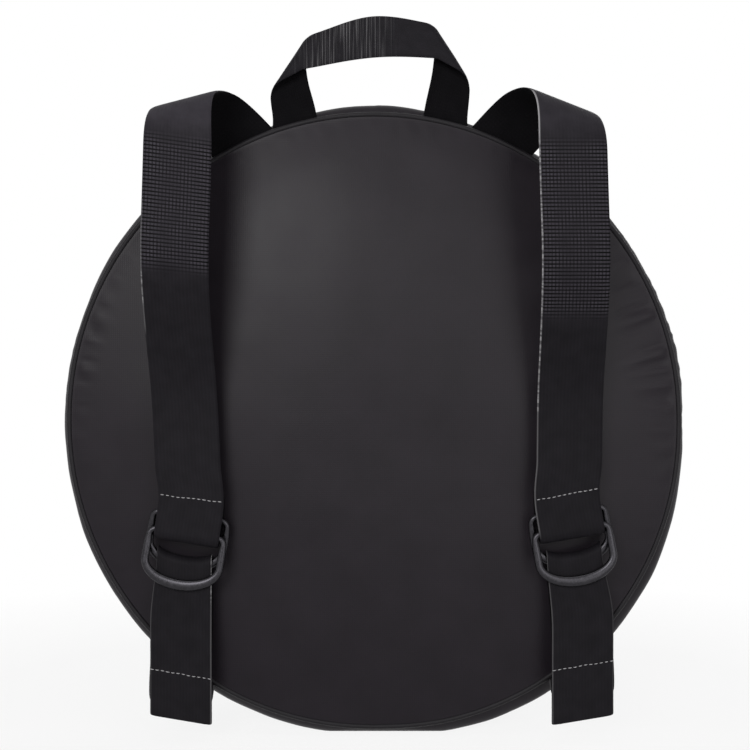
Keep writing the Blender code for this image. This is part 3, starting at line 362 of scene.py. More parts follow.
def webbing(name, ribs, smooth_until=0.0, gloss=1.0, edge_highlights=(), creases=None, shade=1.0):
    """Heavy woven nylon webbing: matt and ribbed, with places of wear. Over the span ribs its weft stands
    out, strongest toward the two edges, each rib with a painted highlight and painted shade in the gap beside
    it. Before smooth_until it is smooth from pressing and paler by gloss, which is a painted sheen, and
    elsewhere only the warp shows. Beyond the ribs it is darker, and shade darkens all of it: both are painted
    shade. selvedge lists spans of painted highlight along an edge as (side, from, to, strength, dotted), and
    creases is a span of fine pale creases."""
    colours = bpy.context.scene.backpack_colours
    made, tree, shader, chart = shaded(name, 0.6, Specular_IOR_Level=0.06)
    apart, (warp, rib) = threads(tree, chart, *WEBBING_SPACING)
    across, along = apart.outputs["X"], apart.outputs["Y"]
    from_middle = add_node(tree, "ShaderNodeMath", {0: across}, operation="ABSOLUTE").outputs[0]
    edge = add_node(tree, "ShaderNodeMapRange", {"Value": from_middle, "From Min": 0.2 * WEBBING_WIDTH,
                                                 "From Max": 0.36 * WEBBING_WIDTH, "To Min": 0.62,
                                                 "To Max": 1.0}).outputs[0]
    uneven = add_node(tree, "ShaderNodeTexNoise", {"Vector": chart, "Scale": 1 / (9 * MM),
                                                   "Detail": 3.0}).outputs["Fac"]
    zone = span(tree, along, *ribs, RIB_FADE)
    rib_share = add_node(tree, "ShaderNodeMath", {0: zone, 1: edge}, operation="MULTIPLY").outputs[0]
    # A rib is narrow, with a deep gap beside it: the rib is painted bright as a highlight and the gap painted
    # dark as shade
    crest = add_node(tree, "ShaderNodeMapRange", {"Value": rib, "From Min": 0.1, "From Max": 0.62,
                                                  "To Min": 0.02, "To Max": 2.6},
                     interpolation_type="SMOOTHSTEP").outputs[0]
    rib_painted_light = add_node(tree, "ShaderNodeMix", {"Factor": rib_share, "A": 1.0, "B": crest}).outputs["Result"]
    unsmooth = add_node(tree, "ShaderNodeMapRange", {"Value": along, "From Min": smooth_until - 14 * MM,
                                                     "From Max": smooth_until}).outputs[0]
    grid = add_node(tree, "ShaderNodeMapRange", {"Value": warp, "To Min": 1.08, "To Max": 0.92}).outputs[0]
    # In the ribbed span the warp shows too, in patches
    patch = add_node(tree, "ShaderNodeMapRange", {"Value": uneven, "From Min": 0.4, "From Max": 0.6,
                                                  "To Min": 0.1, "To Max": 0.8}).outputs[0]
    patch = add_node(tree, "ShaderNodeMath", {0: patch, 1: zone}, operation="MULTIPLY").outputs[0]
    warp_gap = add_node(tree, "ShaderNodeMapRange", {"Value": warp, "From Min": 0.45, "From Max": 0.95,
                                                     "To Min": 1.25, "To Max": 0.2}).outputs[0]
    grid = add_node(tree, "ShaderNodeMix", {"Factor": patch, "A": grid, "B": warp_gap}).outputs["Result"]
    warp_light = add_node(tree, "ShaderNodeMix", {"Factor": unsmooth, "A": 1.0, "B": grid}).outputs["Result"]
    # Beyond the ribs the webbing is darker: painted shade
    past = add_node(tree, "ShaderNodeMapRange", {"Value": along, "From Min": ribs[1] - RIB_FADE,
                                                 "From Max": ribs[1] + 12 * MM, "To Min": 1.0,
                                                 "To Max": 0.72}).outputs[0]
    # shade darkens the whole strip: painted shade, lower on the straps that lie in more shade
    mottle = add_node(tree, "ShaderNodeMapRange", {"Value": uneven, "From Min": 0.3, "From Max": 0.7,
                                                   "To Min": 0.84 * shade, "To Max": 1.16 * shade}).outputs[0]
    # Before smooth_until the colour is raised by gloss: a painted sheen where the webbing is smooth
    painted_sheen = add_node(tree, "ShaderNodeMapRange", {"Value": unsmooth, "To Min": gloss,
                                                    "To Max": 1.0}).outputs[0]
    total = mottle
    for factor in (rib_painted_light, warp_light, past, painted_sheen):
        total = add_node(tree, "ShaderNodeMath", {0: total, 1: factor}, operation="MULTIPLY").outputs[0]
    colour = add_node(tree, "ShaderNodeVectorMath", {0: linear(colours.webbing)[:3], "Scale": total},
                      operation="SCALE").outputs[0]
    if creases:
        # Long across the webbing, and close along it
        stretched = add_node(tree, "ShaderNodeVectorMath", {0: chart, 1: (14, 1250, 1)},
                             operation="MULTIPLY").outputs[0]
        streak = add_node(tree, "ShaderNodeTexNoise", {"Vector": stretched, "Scale": 1.0,
                                                       "Detail": 2.5}).outputs["Fac"]
        pale = add_node(tree, "ShaderNodeMapRange", {"Value": streak, "From Min": 0.5, "From Max": 0.76,
                                                     "To Max": 0.3}).outputs[0]
        pale = add_node(tree, "ShaderNodeMath", {0: pale, 1: span(tree, along, *creases, CREASE_FADE)},
                        operation="MULTIPLY").outputs[0]
        colour = add_node(tree, "ShaderNodeMix", {"Factor": pale, "A": colour, "B": linear(colours.thread)},
                          data_type="RGBA").outputs["Result"]
    # Pale lines along an edge: painted highlights where the edge of the webbing catches the light, some
    # broken into dots as glints
    for edge_side, low, high, strength, dotted in edge_highlights:
        edge_start, edge_full = (edge_side * share * WEBBING_WIDTH for share in EDGE_HIGHLIGHT_SHARES)
        at_edge = add_node(tree, "ShaderNodeMapRange", {"Value": across, "From Min": edge_start,
                                                        "From Max": edge_full}).outputs[0]
        highlit_span = span(tree, along, low, high, EDGE_HIGHLIGHT_FADE)
        shown = add_node(tree, "ShaderNodeMath", {0: highlit_span, 1: strength}, operation="MULTIPLY").outputs[0]
        if dotted:
            dash_chart = add_node(tree, "ShaderNodeCombineXYZ", {"Y": along}).outputs[0]
            dash = add_node(tree, "ShaderNodeTexNoise", {"Vector": dash_chart, "Scale": 1 / (2.6 * MM),
                                                         "Detail": 1.0}).outputs["Fac"]
            dash = add_node(tree, "ShaderNodeMapRange", {"Value": dash, "From Min": 0.44,
                                                         "From Max": 0.56}).outputs[0]
            shown = add_node(tree, "ShaderNodeMath", {0: shown, 1: dash}, operation="MULTIPLY").outputs[0]
        pale = add_node(tree, "ShaderNodeMath", {0: at_edge, 1: shown}, operation="MULTIPLY").outputs[0]
        colour = add_node(tree, "ShaderNodeMix", {"Factor": pale, "A": colour, "B": linear(colours.thread)},
                          data_type="RGBA").outputs["Result"]
    tree.links.new(colour, shader.inputs["Base Color"])
    raised = add_node(tree, "ShaderNodeMath", {0: rib, 1: rib_share}, operation="MULTIPLY").outputs[0]
    relief = add_node(tree, "ShaderNodeMath", {0: warp, 1: -0.4, 2: raised},
                      operation="MULTIPLY_ADD").outputs[0]
    bump = add_node(tree, "ShaderNodeBump", {"Height": relief, "Strength": 0.6, "Distance": 0.25 * MM})
    tree.links.new(bump.outputs[0], shader.inputs["Normal"])
    return made


def woven(name, colour, roughness, spacing, depth, **constants):
    """A plain-woven or ribbed cloth of one colour, with its threads in relief and a little unevenness."""
    made, tree, shader, chart = shaded(name, roughness, **constants)
    _, (warp, weft) = threads(tree, chart, *spacing)
    weave = add_node(tree, "ShaderNodeMath", {0: warp, 1: weft}, operation="MULTIPLY").outputs[0]
    uneven = add_node(tree, "ShaderNodeTexNoise", {"Vector": chart, "Scale": 1 / (11 * MM),
                                                   "Detail": 4.0}).outputs["Fac"]
    shade = add_node(tree, "ShaderNodeMapRange", {"Value": uneven, "From Min": 0.3, "From Max": 0.7,
                                                  "To Min": 0.85, "To Max": 1.15}).outputs[0]
    thread_shade = add_node(tree, "ShaderNodeMapRange", {"Value": weave, "To Min": 0.85,
                                                         "To Max": 1.1}).outputs[0]
    total = add_node(tree, "ShaderNodeMath", {0: shade, 1: thread_shade}, operation="MULTIPLY").outputs[0]
    tint = add_node(tree, "ShaderNodeVectorMath", {0: linear(colour)[:3], "Scale": total},
                    operation="SCALE").outputs[0]
    tree.links.new(tint, shader.inputs["Base Color"])
    bump = add_node(tree, "ShaderNodeBump", {"Height": weave, "Strength": 0.5, "Distance": depth * MM})
    tree.links.new(bump.outputs[0], shader.inputs["Normal"])
    return made


def foam_sheet():
    """Open-cell polyurethane foam: matt, pitted with small cells."""
    colours = bpy.context.scene.backpack_colours
    made, tree, shader, chart = shaded("foam_sheet", 0.95)
    cells = add_node(tree, "ShaderNodeTexVoronoi", {"Vector": chart,
                                                    "Scale": 1 / (1.6 * MM)}).outputs["Distance"]
    shade = add_node(tree, "ShaderNodeMapRange", {"Value": cells, "To Min": 0.6, "To Max": 1.1}).outputs[0]
    tint = add_node(tree, "ShaderNodeVectorMath", {0: linear(colours.foam)[:3], "Scale": shade},
                    operation="SCALE").outputs[0]
    tree.links.new(tint, shader.inputs["Base Color"])
    bump = add_node(tree, "ShaderNodeBump", {"Height": cells, "Strength": 0.7, "Distance": 0.4 * MM})
    tree.links.new(bump.outputs[0], shader.inputs["Normal"])
    return made


def gunmetal():
    """Zinc casting with a dark gunmetal plating: satin, with long soft highlights and tumbling marks."""
    colours = bpy.context.scene.backpack_colours
    made, tree, shader, _ = shaded("gunmetal_plated_zinc", 0.3, Metallic=1.0)
    place = add_node(tree, "ShaderNodeTexCoord").outputs["Object"]
    marks = add_node(tree, "ShaderNodeTexNoise", {"Vector": place, "Scale": 1 / (2 * MM), "Detail": 5.0,
                                                  "Roughness": 0.65}).outputs["Fac"]
    wear = add_node(tree, "ShaderNodeMapRange", {"Value": marks, "From Min": 0.3, "From Max": 0.7,
                                                 "To Min": 0.8, "To Max": 1.15}).outputs[0]
    tint = add_node(tree, "ShaderNodeVectorMath", {0: linear(colours.metal)[:3], "Scale": wear},
                    operation="SCALE").outputs[0]
    tree.links.new(tint, shader.inputs["Base Color"])
    gloss = add_node(tree, "ShaderNodeMapRange", {"Value": marks, "From Min": 0.3, "From Max": 0.7,
                                                  "To Min": 0.24, "To Max": 0.36}).outputs[0]
    tree.links.new(gloss, shader.inputs["Roughness"])
    bump = add_node(tree, "ShaderNodeBump", {"Height": marks, "Strength": 0.15, "Distance": 0.05 * MM})
    tree.links.new(bump.outputs[0], shader.inputs["Normal"])
    return made


def nylon_coil():
    """Extruded nylon monofilament: smooth and a little glossy."""
    colours = bpy.context.scene.backpack_colours
    made, tree, shader, _ = shaded("nylon_zip_coil", 0.32)
    place = add_node(tree, "ShaderNodeTexCoord").outputs["Object"]
    uneven = add_node(tree, "ShaderNodeTexNoise", {"Vector": place, "Scale": 1 / (6 * MM)}).outputs["Fac"]
    shade = add_node(tree, "ShaderNodeMapRange", {"Value": uneven, "To Min": 0.8, "To Max": 1.2}).outputs[0]
    tint = add_node(tree, "ShaderNodeVectorMath", {0: linear(colours.zip_coil)[:3], "Scale": shade},
                    operation="SCALE").outputs[0]
    tree.links.new(tint, shader.inputs["Base Color"])
    return made


def finish(name):
    """The material of this name, made when it is first asked for."""
    made = bpy.data.materials.get(f"backpack_{name}")
    if made:
        return made
    colours = bpy.context.scene.backpack_colours
    left_hinge = lower_strip("left").hinge
    handle_middle = handle_strip().length / 2
    makers = {
        "coated_nylon": coated_nylon,
        # The same nylon webbing on each strap, with wear at different places; its painted highlights, painted
        # sheen (gloss) and painted shade (shade) are set for each strap
        "left_shoulder_webbing": lambda: webbing(
            "left_shoulder_webbing", (104 * MM, 176 * MM), smooth_until=104 * MM, gloss=2.25, shade=0.93,
            edge_highlights=((-1, 140 * MM, 216 * MM, 0.2, False), (-1, 180 * MM, 200 * MM, 0.5, True))),
        "right_shoulder_webbing": lambda: webbing(
            "right_shoulder_webbing", (101 * MM, 199 * MM), smooth_until=101 * MM, gloss=1.8, shade=0.83,
            edge_highlights=((-1, 62 * MM, 98 * MM, 0.75, False), (-1, 98 * MM, 330 * MM, 0.22, False),
                      (-1, 98 * MM, 260 * MM, 0.6, True))),
        "left_lower_webbing": lambda: webbing(
            "left_lower_webbing", (0.0, 12 * MM), shade=0.85,
            edge_highlights=((-1, 0.0, 1.0, 0.2, False), (1, 0.0, 1.0, 0.12, False),
                      (-1, left_hinge - 28 * MM, left_hinge - 1 * MM, 0.5, True))),
        "right_lower_webbing": lambda: webbing(
            "right_lower_webbing", (0.0, 12 * MM), shade=0.85,
            edge_highlights=((1, 0.0, 1.0, 0.16, False), (-1, 0.0, 1.0, 0.08, False))),
        "handle_webbing": lambda: webbing(
            "handle_webbing", (0.0, 1 * MM), smooth_until=1.0,
            creases=(handle_middle - 37 * MM, handle_middle + 8 * MM)),
        # The inner side of the webbing, unpressed and without the satin of its outer side, painted near black
        # as shade for the runs where it shows, which lie in shade
        "webbing_painted_shade": lambda: woven("webbing_painted_shade", hex_parts("#100f11"), 0.9, (2.0, 2.2), 0.2,
                                           Specular_IOR_Level=0.05),
        # Nylon bias tape over a cord: finer and a little paler than the panels
        "piping_tape": lambda: woven("piping_tape", colours.piping, 0.5, (1.4, 1.4), 0.1,
                                     Specular_IOR_Level=0.15),
        # Polyester grosgrain: close ribs across the tape
        "grosgrain_binding": lambda: woven("grosgrain_binding", colours.binding, 0.8, (1.6, 4.0), 0.2),
        # Polyester taffeta: thin, with a faint gloss
        "taffeta_lining": lambda: woven("taffeta_lining", colours.lining, 0.6, (1.2, 1.2), 0.08,
                                        Sheen_Weight=0.1),
        # Woven polyester zip tape: matt, with ribs along it
        "woven_zip_tape": lambda: woven("woven_zip_tape", colours.zip_tape, 0.8, (4.0, 1.2), 0.15),
        # Spun polyester thread: matt and pale beside the cloth
        "spun_thread": lambda: woven("spun_thread", colours.thread, 0.7, (0.8, 0.8), 0.1),
        "foam_sheet": foam_sheet,
        "gunmetal": gunmetal,
        "nylon_coil": nylon_coil,
    }
    made = makers[name]()
    made.name = f"backpack_{name}"
    return made


# Meshes

def piece(name, points, faces, charts, material, smooth_angle=50):
    """An object from points, faces and the cloth coordinates of each point."""
    mesh = bpy.data.meshes.new(name)
    mesh.from_pydata([tuple(point) for point in points], [], faces)
    layer = mesh.uv_layers.new(name="cloth")
    for loop in mesh.loops:
        layer.data[loop.index].uv = charts[loop.vertex_index]
    bm = bmesh.new()
    bm.from_mesh(mesh)
    bmesh.ops.remove_doubles(bm, verts=bm.verts, dist=GAP / 100)
    bmesh.ops.recalc_face_normals(bm, faces=bm.faces)
    bm.to_mesh(mesh)
    bm.free()
    mesh.shade_smooth()
    mesh.set_sharp_from_angle(angle=math.radians(smooth_angle))
    mesh.materials.append(finish(material))
    made = bpy.data.objects.new(name, mesh)
    bpy.context.scene.collection.objects.link(made)
    return made


def smooth_share(value):
    """0 below 0, 1 above 1, and an even curve between."""
    value = min(max(value, 0.0), 1.0)
    return value * value * (3 - 2 * value)


def signed_angle(angle):
    """The same angle from straight down, between half a turn back and half a turn on."""
    return (angle + math.pi) % (2 * math.pi) - math.pi


def squarish(value, power):
    """A sine or cosine pushed toward 1 by a power below 1, so that a round section gets square shoulders."""
    return math.copysign(abs(value) ** power, value)


def belly(angle, y):
    """How far the soft side stands out at this angle from straight down and this depth."""
    table = BELLY["right" if angle > 0 else "left"]
    place = abs(angle) / (math.pi / 2) * (len(table) - 1)
    if place >= len(table) - 1:
        return 0.0
    step = int(place)
    before, low, high = table[abs(step - 1)], table[step], table[step + 1]
    after = table[min(step + 2, len(table) - 1)]
    t = place - step
    most = low + 0.5 * t * (high - before + t * (2 * before - 5 * low + 4 * high - after
                                                 + t * (3 * (low - high) + after - before)))
    from_back, from_front = y - BACK_SEAM_Y, FRONT_SEAM_Y - y
    depth = min(from_back, from_front)
    fade_length = BODY_DEPTH / 2 - ZIP_BAND_HALF - TAPE_UNDERLAP - BELLY_DEPTH
    side_share = 1 - smooth_share((depth - BELLY_DEPTH) / fade_length)
    if from_front < from_back:
        side_share *= FRONT_BELLY_SHARE
    under_share = 1 - smooth_share((abs(angle) - UNDER_ANGLE) / UNDER_ANGLE)
    rise_share = SEAM_BELLY_SHARE + (1 - SEAM_BELLY_SHARE) * smooth_share(depth / BELLY_DEPTH)
    return most * rise_share * (side_share + (1 - side_share) * under_share)


def settled(angle, y, plain):
    """A point of the soft body at this angle from straight down, on a true circle of radius plain."""
    share = plain / GUSSET_RADIUS
    radius = plain + belly(angle, y) * share ** 2
    if math.cos(angle) > 0:
        radius = min(radius, STAND_HEIGHT * share / math.cos(angle))
    return Vector((radius * math.sin(angle), y, STAND_HEIGHT - radius * math.cos(angle)))


def gathers(angle, inset):
    """Relief of the gathers along the rim seam, from -1 to 1: longest on the wearer's right, where the
    cloth was eased in, and short all round."""
    right = math.exp(-((angle - GATHERS_RIGHT[0]) / GATHERS_RIGHT[1]) ** 2)
    left = GATHERS_LEFT_SHARE * math.exp(-((angle - GATHERS_LEFT[0]) / GATHERS_LEFT[1]) ** 2)
    strength = GATHERS_ROUND_SHARE + right + left
    reach = GATHERS_ROUND_REACH + GATHERS_RIGHT_REACH * right + GATHERS_LEFT_REACH * left
    fade = smooth_share(inset / GATHER_FADE) * (1 - smooth_share(inset / reach))
    turns = angle * PANEL_RADIUS / GATHER_PITCH
    wander = noise.noise(Vector((angle * 9, inset * 12, 3.7))) * 1.1
    return strength * fade * math.sin(2 * math.pi * (turns + wander))


def drape(x, z, seed):
    """Broad soft hollows, from -1 to 1."""
    return noise.noise(Vector((x * 9, z * 9, seed))) + 0.4 * noise.noise(Vector((x * 24, z * 24, seed)))


def turned(name, profile, material, steps, ends=None, relief=None, flat_chart=False):
    """A piece turned about the bag's axis from (y, radius) points, with relief(angle, index) along each
    point's own (y, radius) direction. Its ends are angles from straight down."""
    first, last = ends or (0.0, 2 * math.pi)
    columns = steps + 1 if ends else steps
    travelled = [0.0]
    for (y0, r0), (y1, r1) in zip(profile, profile[1:]):
        travelled.append(travelled[-1] + math.hypot(y1 - y0, r1 - r0))
    points, charts = [], []
    for column in range(columns):
        angle = first + (last - first) * column / steps
        signed = signed_angle(angle)
        for index, (y, radius) in enumerate(profile):
            dy, dr = relief(signed, index) if relief else (0.0, 0.0)
            point = settled(signed, y, radius)
            out = point - Vector((0, y, STAND_HEIGHT))
            if out.length > GAP:
                point += out.normalized() * dr
            point.y += dy
            points.append(point)
            charts.append((point.x, point.z) if flat_chart else (angle * GUSSET_RADIUS, travelled[index]))
    count = len(profile)
    faces = []
    for column in range(columns if not ends else columns - 1):
        here, there = column * count, (column + 1) % columns * count
        for index in range(count):
            after = (index + 1) % count
            faces.append((here + index, here + after, there + after, there + index))
    if ends:
        faces += [tuple(range(count)), tuple(range((columns - 1) * count, columns * count))]
    return piece(name, points, faces, charts, material)


def seam_depth(front, depth):
    """Y of a place that lies this deep inside the back seam, or inside the front one."""
    return FRONT_SEAM_Y - depth if front else BACK_SEAM_Y + depth


def crown(share):
    """Height of the panel's dome over its rim."""
    return PANEL_CROWN * (1 - min(share, 1.0) ** CROWN_POWER)


def padding(share):
    """Room for the foam between cloth and lining: full in the middle, gone at the sewn rim."""
    full = FOAM_THICKNESS + 2 * GAP
    if share <= PADDING_EDGE_SHARE:
        return full
    return full + (GAP - full) * (share - PADDING_EDGE_SHARE) / (1 - PADDING_EDGE_SHARE)


def panel_relief(front, shares):
    """Relief of a panel's cloth, toward the outside of the bag: gathers at the rim and broad hollows."""
    sizes = bpy.context.scene.backpack_sizes
    outward = 1 if front else -1

    def relief(angle, index):
        share = shares[index]
        inset = (1 - share) * PANEL_RADIUS
        x, z = share * PANEL_RADIUS * math.sin(angle), share * PANEL_RADIUS * math.cos(angle)
        hollow = drape(x, z, 1.5 if front else 8.2) * smooth_share(inset / (30 * MM)) * sizes.drape_depth
        return outward * (gathers(angle, inset) * sizes.gather_depth + hollow), 0.0

    return relief


def build_panel(half, front, body):
    """Outer cloth, foam and lining of one round panel."""
    cloth_in = CLOTH_THICKNESS / 2

    def sheet(suffix, outer, inner, rings, rim_share, material, steps):
        shares = [rim_share * (1 - (1 - step / rings) ** 1.4) for step in range(rings + 1)]
        both = shares + shares[::-1]
        profile = [(seam_depth(front, outer(s)), s * PANEL_RADIUS) for s in shares]
        profile += [(seam_depth(front, inner(s)), s * PANEL_RADIUS) for s in reversed(shares)]
        made = turned(f"{half}_{suffix}", profile, material, steps, relief=panel_relief(front, both),
                      flat_chart=True)
        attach(made, body)
        return made

    cloth = sheet("panel_cloth", lambda s: -cloth_in - crown(s), lambda s: cloth_in - crown(s), 44,
                  CLOTH_RIM_SHARE, "coated_nylon", 360)
    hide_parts(f"{half}_panel")
    foam = sheet("panel_foam", lambda s: cloth_in + GAP - crown(s),
                 lambda s: cloth_in + padding(s) - GAP - crown(s), 16, FOAM_RIM_SHARE, "foam_sheet", 120)
    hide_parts(f"{half}_foam")
    lining = sheet("panel_lining", lambda s: cloth_in + padding(s) - crown(s),
                   lambda s: cloth_in + padding(s) + LINING_THICKNESS - crown(s), 24, 1.0,
                   "taffeta_lining", 240)
    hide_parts(f"{half}_lining")


def build_seam(half, front, body):
    """Piping in the rim seam, and the binding tape over its raw edges inside."""
    sides = 14
    circle = [2 * math.pi * i / sides for i in range(sides)]

    def cord_relief(angle, index):
        swell = PIPING_UNEVEN * noise.noise(Vector((angle * 40, 2.0 if front else 6.0, 0.0)))
        return -swell * math.cos(circle[index]), swell * math.sin(circle[index])

    piping = turned(f"{half}_rim_piping", [(seam_depth(front, PIPING_RADIUS * math.cos(a)),
                                            PIPING_RING_RADIUS + PIPING_RADIUS * math.sin(a))
                                           for a in circle], "piping_tape", 480, relief=cord_relief)
    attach(piping, body)
    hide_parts(f"{half}_piping")
    start = CLOTH_THICKNESS / 2 + GAP + LINING_THICKNESS + GAP
    middle = (start + BINDING_WIDTH / 2, PANEL_RADIUS - BINDING_THICKNESS / 2)
    section = []
    corners = 20
    for step in range(corners):
        turn = 2 * math.pi * step / corners
        section.append((seam_depth(front, middle[0] + BINDING_WIDTH / 2 * squarish(math.cos(turn), 0.4)),
                        middle[1] + BINDING_THICKNESS / 2 * squarish(math.sin(turn), 0.6)))
    binding = turned(f"{half}_edge_binding", section, "grosgrain_binding", 360)
    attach(binding, body)
    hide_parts(f"{half}_seam_binding")


def band_profile(front, last_depth):
    """Section of the side band from the seam to last_depth: it swells quickly to its full radius."""
    start = PIPING_RADIUS + GAP + (0 if front else WEBBING_THICKNESS + GAP)
    first_radius = PIPING_RING_RADIUS + PIPING_RADIUS / 2
    outer = []
    curve_steps, flat_steps = 8, 8
    for step in range(curve_steps + 1):
        share = (step / curve_steps) ** 1.3
        outer.append((start + share * (BELLY_DEPTH - start),
                      first_radius + (1 - (1 - share) ** 2.4) * (GUSSET_RADIUS - first_radius)))
    outer += [(BELLY_DEPTH + (last_depth - BELLY_DEPTH) * step / flat_steps, GUSSET_RADIUS)
              for step in range(1, flat_steps + 1)]
    inner = [(depth, radius - CLOTH_THICKNESS) for depth, radius in reversed(outer)]
    return [(seam_depth(front, depth), radius) for depth, radius in outer + inner]


def bottom_profile():
    """Section of the short bottom band, one cloth from the back seam to the front seam."""
    halves = [band_profile(front, BODY_DEPTH / 2) for front in (False, True)]
    count = len(halves[0]) // 2
    outer = halves[0][:count] + list(reversed(halves[1][:count]))[1:]
    return outer + [(y, radius - CLOTH_THICKNESS) for y, radius in reversed(outer)]


def band_relief(profile):
    """Relief of the side band: short gathers at the seam, soft hollows that fade at the zip and on the
    ground, and a swell at the top, where the handle pulls."""
    sizes = bpy.context.scene.backpack_sizes

    def relief(angle, index):
        y = profile[index][0]
        depth = min(FRONT_SEAM_Y - y, y - BACK_SEAM_Y)
        from_zip = smooth_share((BODY_DEPTH / 2 - ZIP_BAND_HALF - depth) / (14 * MM))
        from_ground = smooth_share((abs(angle) - UNDER_ANGLE) / UNDER_ANGLE)
        gather = gathers(angle, max(depth - 2 * MM, 0.0)) * BAND_GATHER_SHARE * sizes.gather_depth
        hollow = (noise.noise(Vector((angle * 2.6, y * 22, 4.4)))
                  + 0.5 * noise.noise(Vector((angle * 8, y * 40, 9.1)))) * sizes.drape_depth
        top = math.exp(-((math.pi - abs(angle)) / TOP_SWELL_ANGLE) ** 2) * smooth_share(depth / (6 * MM))
        soft = gather + hollow * smooth_share(depth / (10 * MM)) - BAND_INWARD
        return 0.0, (from_ground * from_zip * soft + TOP_SWELL * top * from_zip)

    return relief


def build_bottom_band():
    """The short bottom band between the zip's ends."""
    overlap = GAP / GUSSET_RADIUS
    profile = bottom_profile()
    bottom = turned("bottom_band", profile, "coated_nylon", 90,
                    (-ZIP_END_ANGLE - overlap, ZIP_END_ANGLE + overlap), band_relief(profile))
    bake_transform(bottom)
    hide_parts("bottom_gusset_back", "bottom_gusset_front")


def build_band(half, front, body):
    """The side band's half with its half of the zip."""
    middle = BODY_DEPTH / 2
    round_zip = (ZIP_END_ANGLE, 2 * math.pi - ZIP_END_ANGLE)
    profile = band_profile(front, middle - ZIP_BAND_HALF)
    side = turned(f"{half}_side_band", profile, "coated_nylon", 420, round_zip, band_relief(profile))
    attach(side, body)
    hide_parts(f"gusset_{half}")

    tape_out = GUSSET_RADIUS - CLOTH_THICKNESS - GAP
    tape_in = tape_out - TAPE_THICKNESS
    edge = middle - ZIP_SPLIT / 2
    tape_start = middle - ZIP_BAND_HALF - TAPE_UNDERLAP
    steps = 5
    depths = [tape_start + (edge - tape_start) * step / steps for step in range(steps + 1)]
    section = [(d, tape_out) for d in depths] + [(d, tape_in) for d in reversed(depths)]
    tape = turned(f"{half}_zip_tape", [(seam_depth(front, d), r) for d, r in section], "woven_zip_tape", 360,
                  round_zip)
    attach(tape, body)
    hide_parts(f"zip_tape_{half}")

    stitches = band_stitches(f"{half}_zip_stitching",
                             seam_depth(front, middle - ZIP_BAND_HALF - ZIP_STITCH_INSET), round_zip)
    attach(stitches, body)
    coil = zip_coil(f"{half}_zip_coil", front, edge - COIL_WIDTH / 2, tape_out + GAP + COIL_HEIGHT / 2,
                    round_zip)
    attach(coil, body)
    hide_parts(f"zip_coil_{half}")


def tube(points, radius, sides):
    """Points, faces and charts of a round closed tube along a line of points. radius may be one for each."""
    made, charts, faces = [], [], []
    travelled = 0.0
    count = len(points)
    for index, point in enumerate(points):
        heading = (points[min(index + 1, count - 1)] - points[max(index - 1, 0)]).normalized()
        if index == 0:
            side = heading.orthogonal().normalized()
        else:
            side = (side - heading * side.dot(heading)).normalized()
        up = heading.cross(side)
        size = radius[index] if isinstance(radius, list) else radius
        if index:
            travelled += (point - points[index - 1]).length
        for spot in range(sides):
            turn = 2 * math.pi * spot / sides
            made.append(point + (side * math.cos(turn) + up * math.sin(turn)) * size)
            charts.append((travelled, turn * size))
    for index in range(count - 1):
        for spot in range(sides):
            here, after = index * sides + spot, index * sides + (spot + 1) % sides
            faces.append((here, after, after + sides, here + sides))
    faces += [tuple(range(sides)), tuple(range((count - 1) * sides, count * sides))]
    return made, faces, charts


def zip_coil(name, front, depth, radius, ends):
    """The zip's coil: a flattened spiral of monofilament round the bag."""
    sizes = bpy.context.scene.backpack_sizes
    turns = round((ends[1] - ends[0]) * radius / sizes.coil_pitch)
    wire = COIL_WIRE_RADIUS
    line = []
    for step in range(turns * COIL_STEPS + 1):
        signed = signed_angle(ends[0] + (ends[1] - ends[0]) * step / (turns * COIL_STEPS))
        turn = 2 * math.pi * step / COIL_STEPS
        y = seam_depth(front, depth + (COIL_WIDTH / 2 - wire) * math.cos(turn))
        line.append(settled(signed, y, radius + (COIL_HEIGHT / 2 - wire) * math.sin(turn)))
    points, faces, charts = tube(line, wire, 4)
    return piece(name, points, faces, charts, "nylon_coil", smooth_angle=80)


def stitch_line(path, length, pitch, radius):
    """Stitches along path(distance) -> (point, outward): each a short rounded length of thread that dips
    into the cloth at both ends. Returns points, faces and charts."""
    points, faces, charts = [], [], []
    count = round(length / pitch)
    for index in range(count):
        start = length / 2 + (index + 0.5 - count / 2) * pitch
        uneven = noise.noise(Vector((index * 1.7, length * 90, 5.0)))
        reach = bpy.context.scene.backpack_sizes.stitch_length * (1 + 0.3 * uneven)
        line, widths = [], []
        for step in range(STITCH_STEPS + 1):
            share = step / STITCH_STEPS
            point, outward = path(start + reach * (share - 0.5))
            rise = math.sin(math.pi * share) * (1 + STITCH_SINK) - STITCH_SINK
            line.append(point + outward * radius * rise)
            widths.append(radius * (0.55 + 0.45 * math.sin(math.pi * share)))
        made, quads, spots = tube(line, widths, 6)
        base = len(points)
        points += made
        charts += spots
        faces += [tuple(base + corner for corner in face) for face in quads]
    return points, faces, charts


def band_stitches(name, y, ends):
    """A row of stitches round the side band beside the zip."""
    def path(distance):
        point = settled(signed_angle(ends[0] + distance / GUSSET_RADIUS), y, GUSSET_RADIUS)
        return point, (point - Vector((0, y, STAND_HEIGHT))).normalized()

    row = stitch_line(path, (ends[1] - ends[0]) * GUSSET_RADIUS, ZIP_STITCH_PITCH, ZIP_THREAD_RADIUS)
    return piece(name, *row, "piping_tape", smooth_angle=80)


# Webbing: a flat strip that is bent along straight creases, as real webbing is

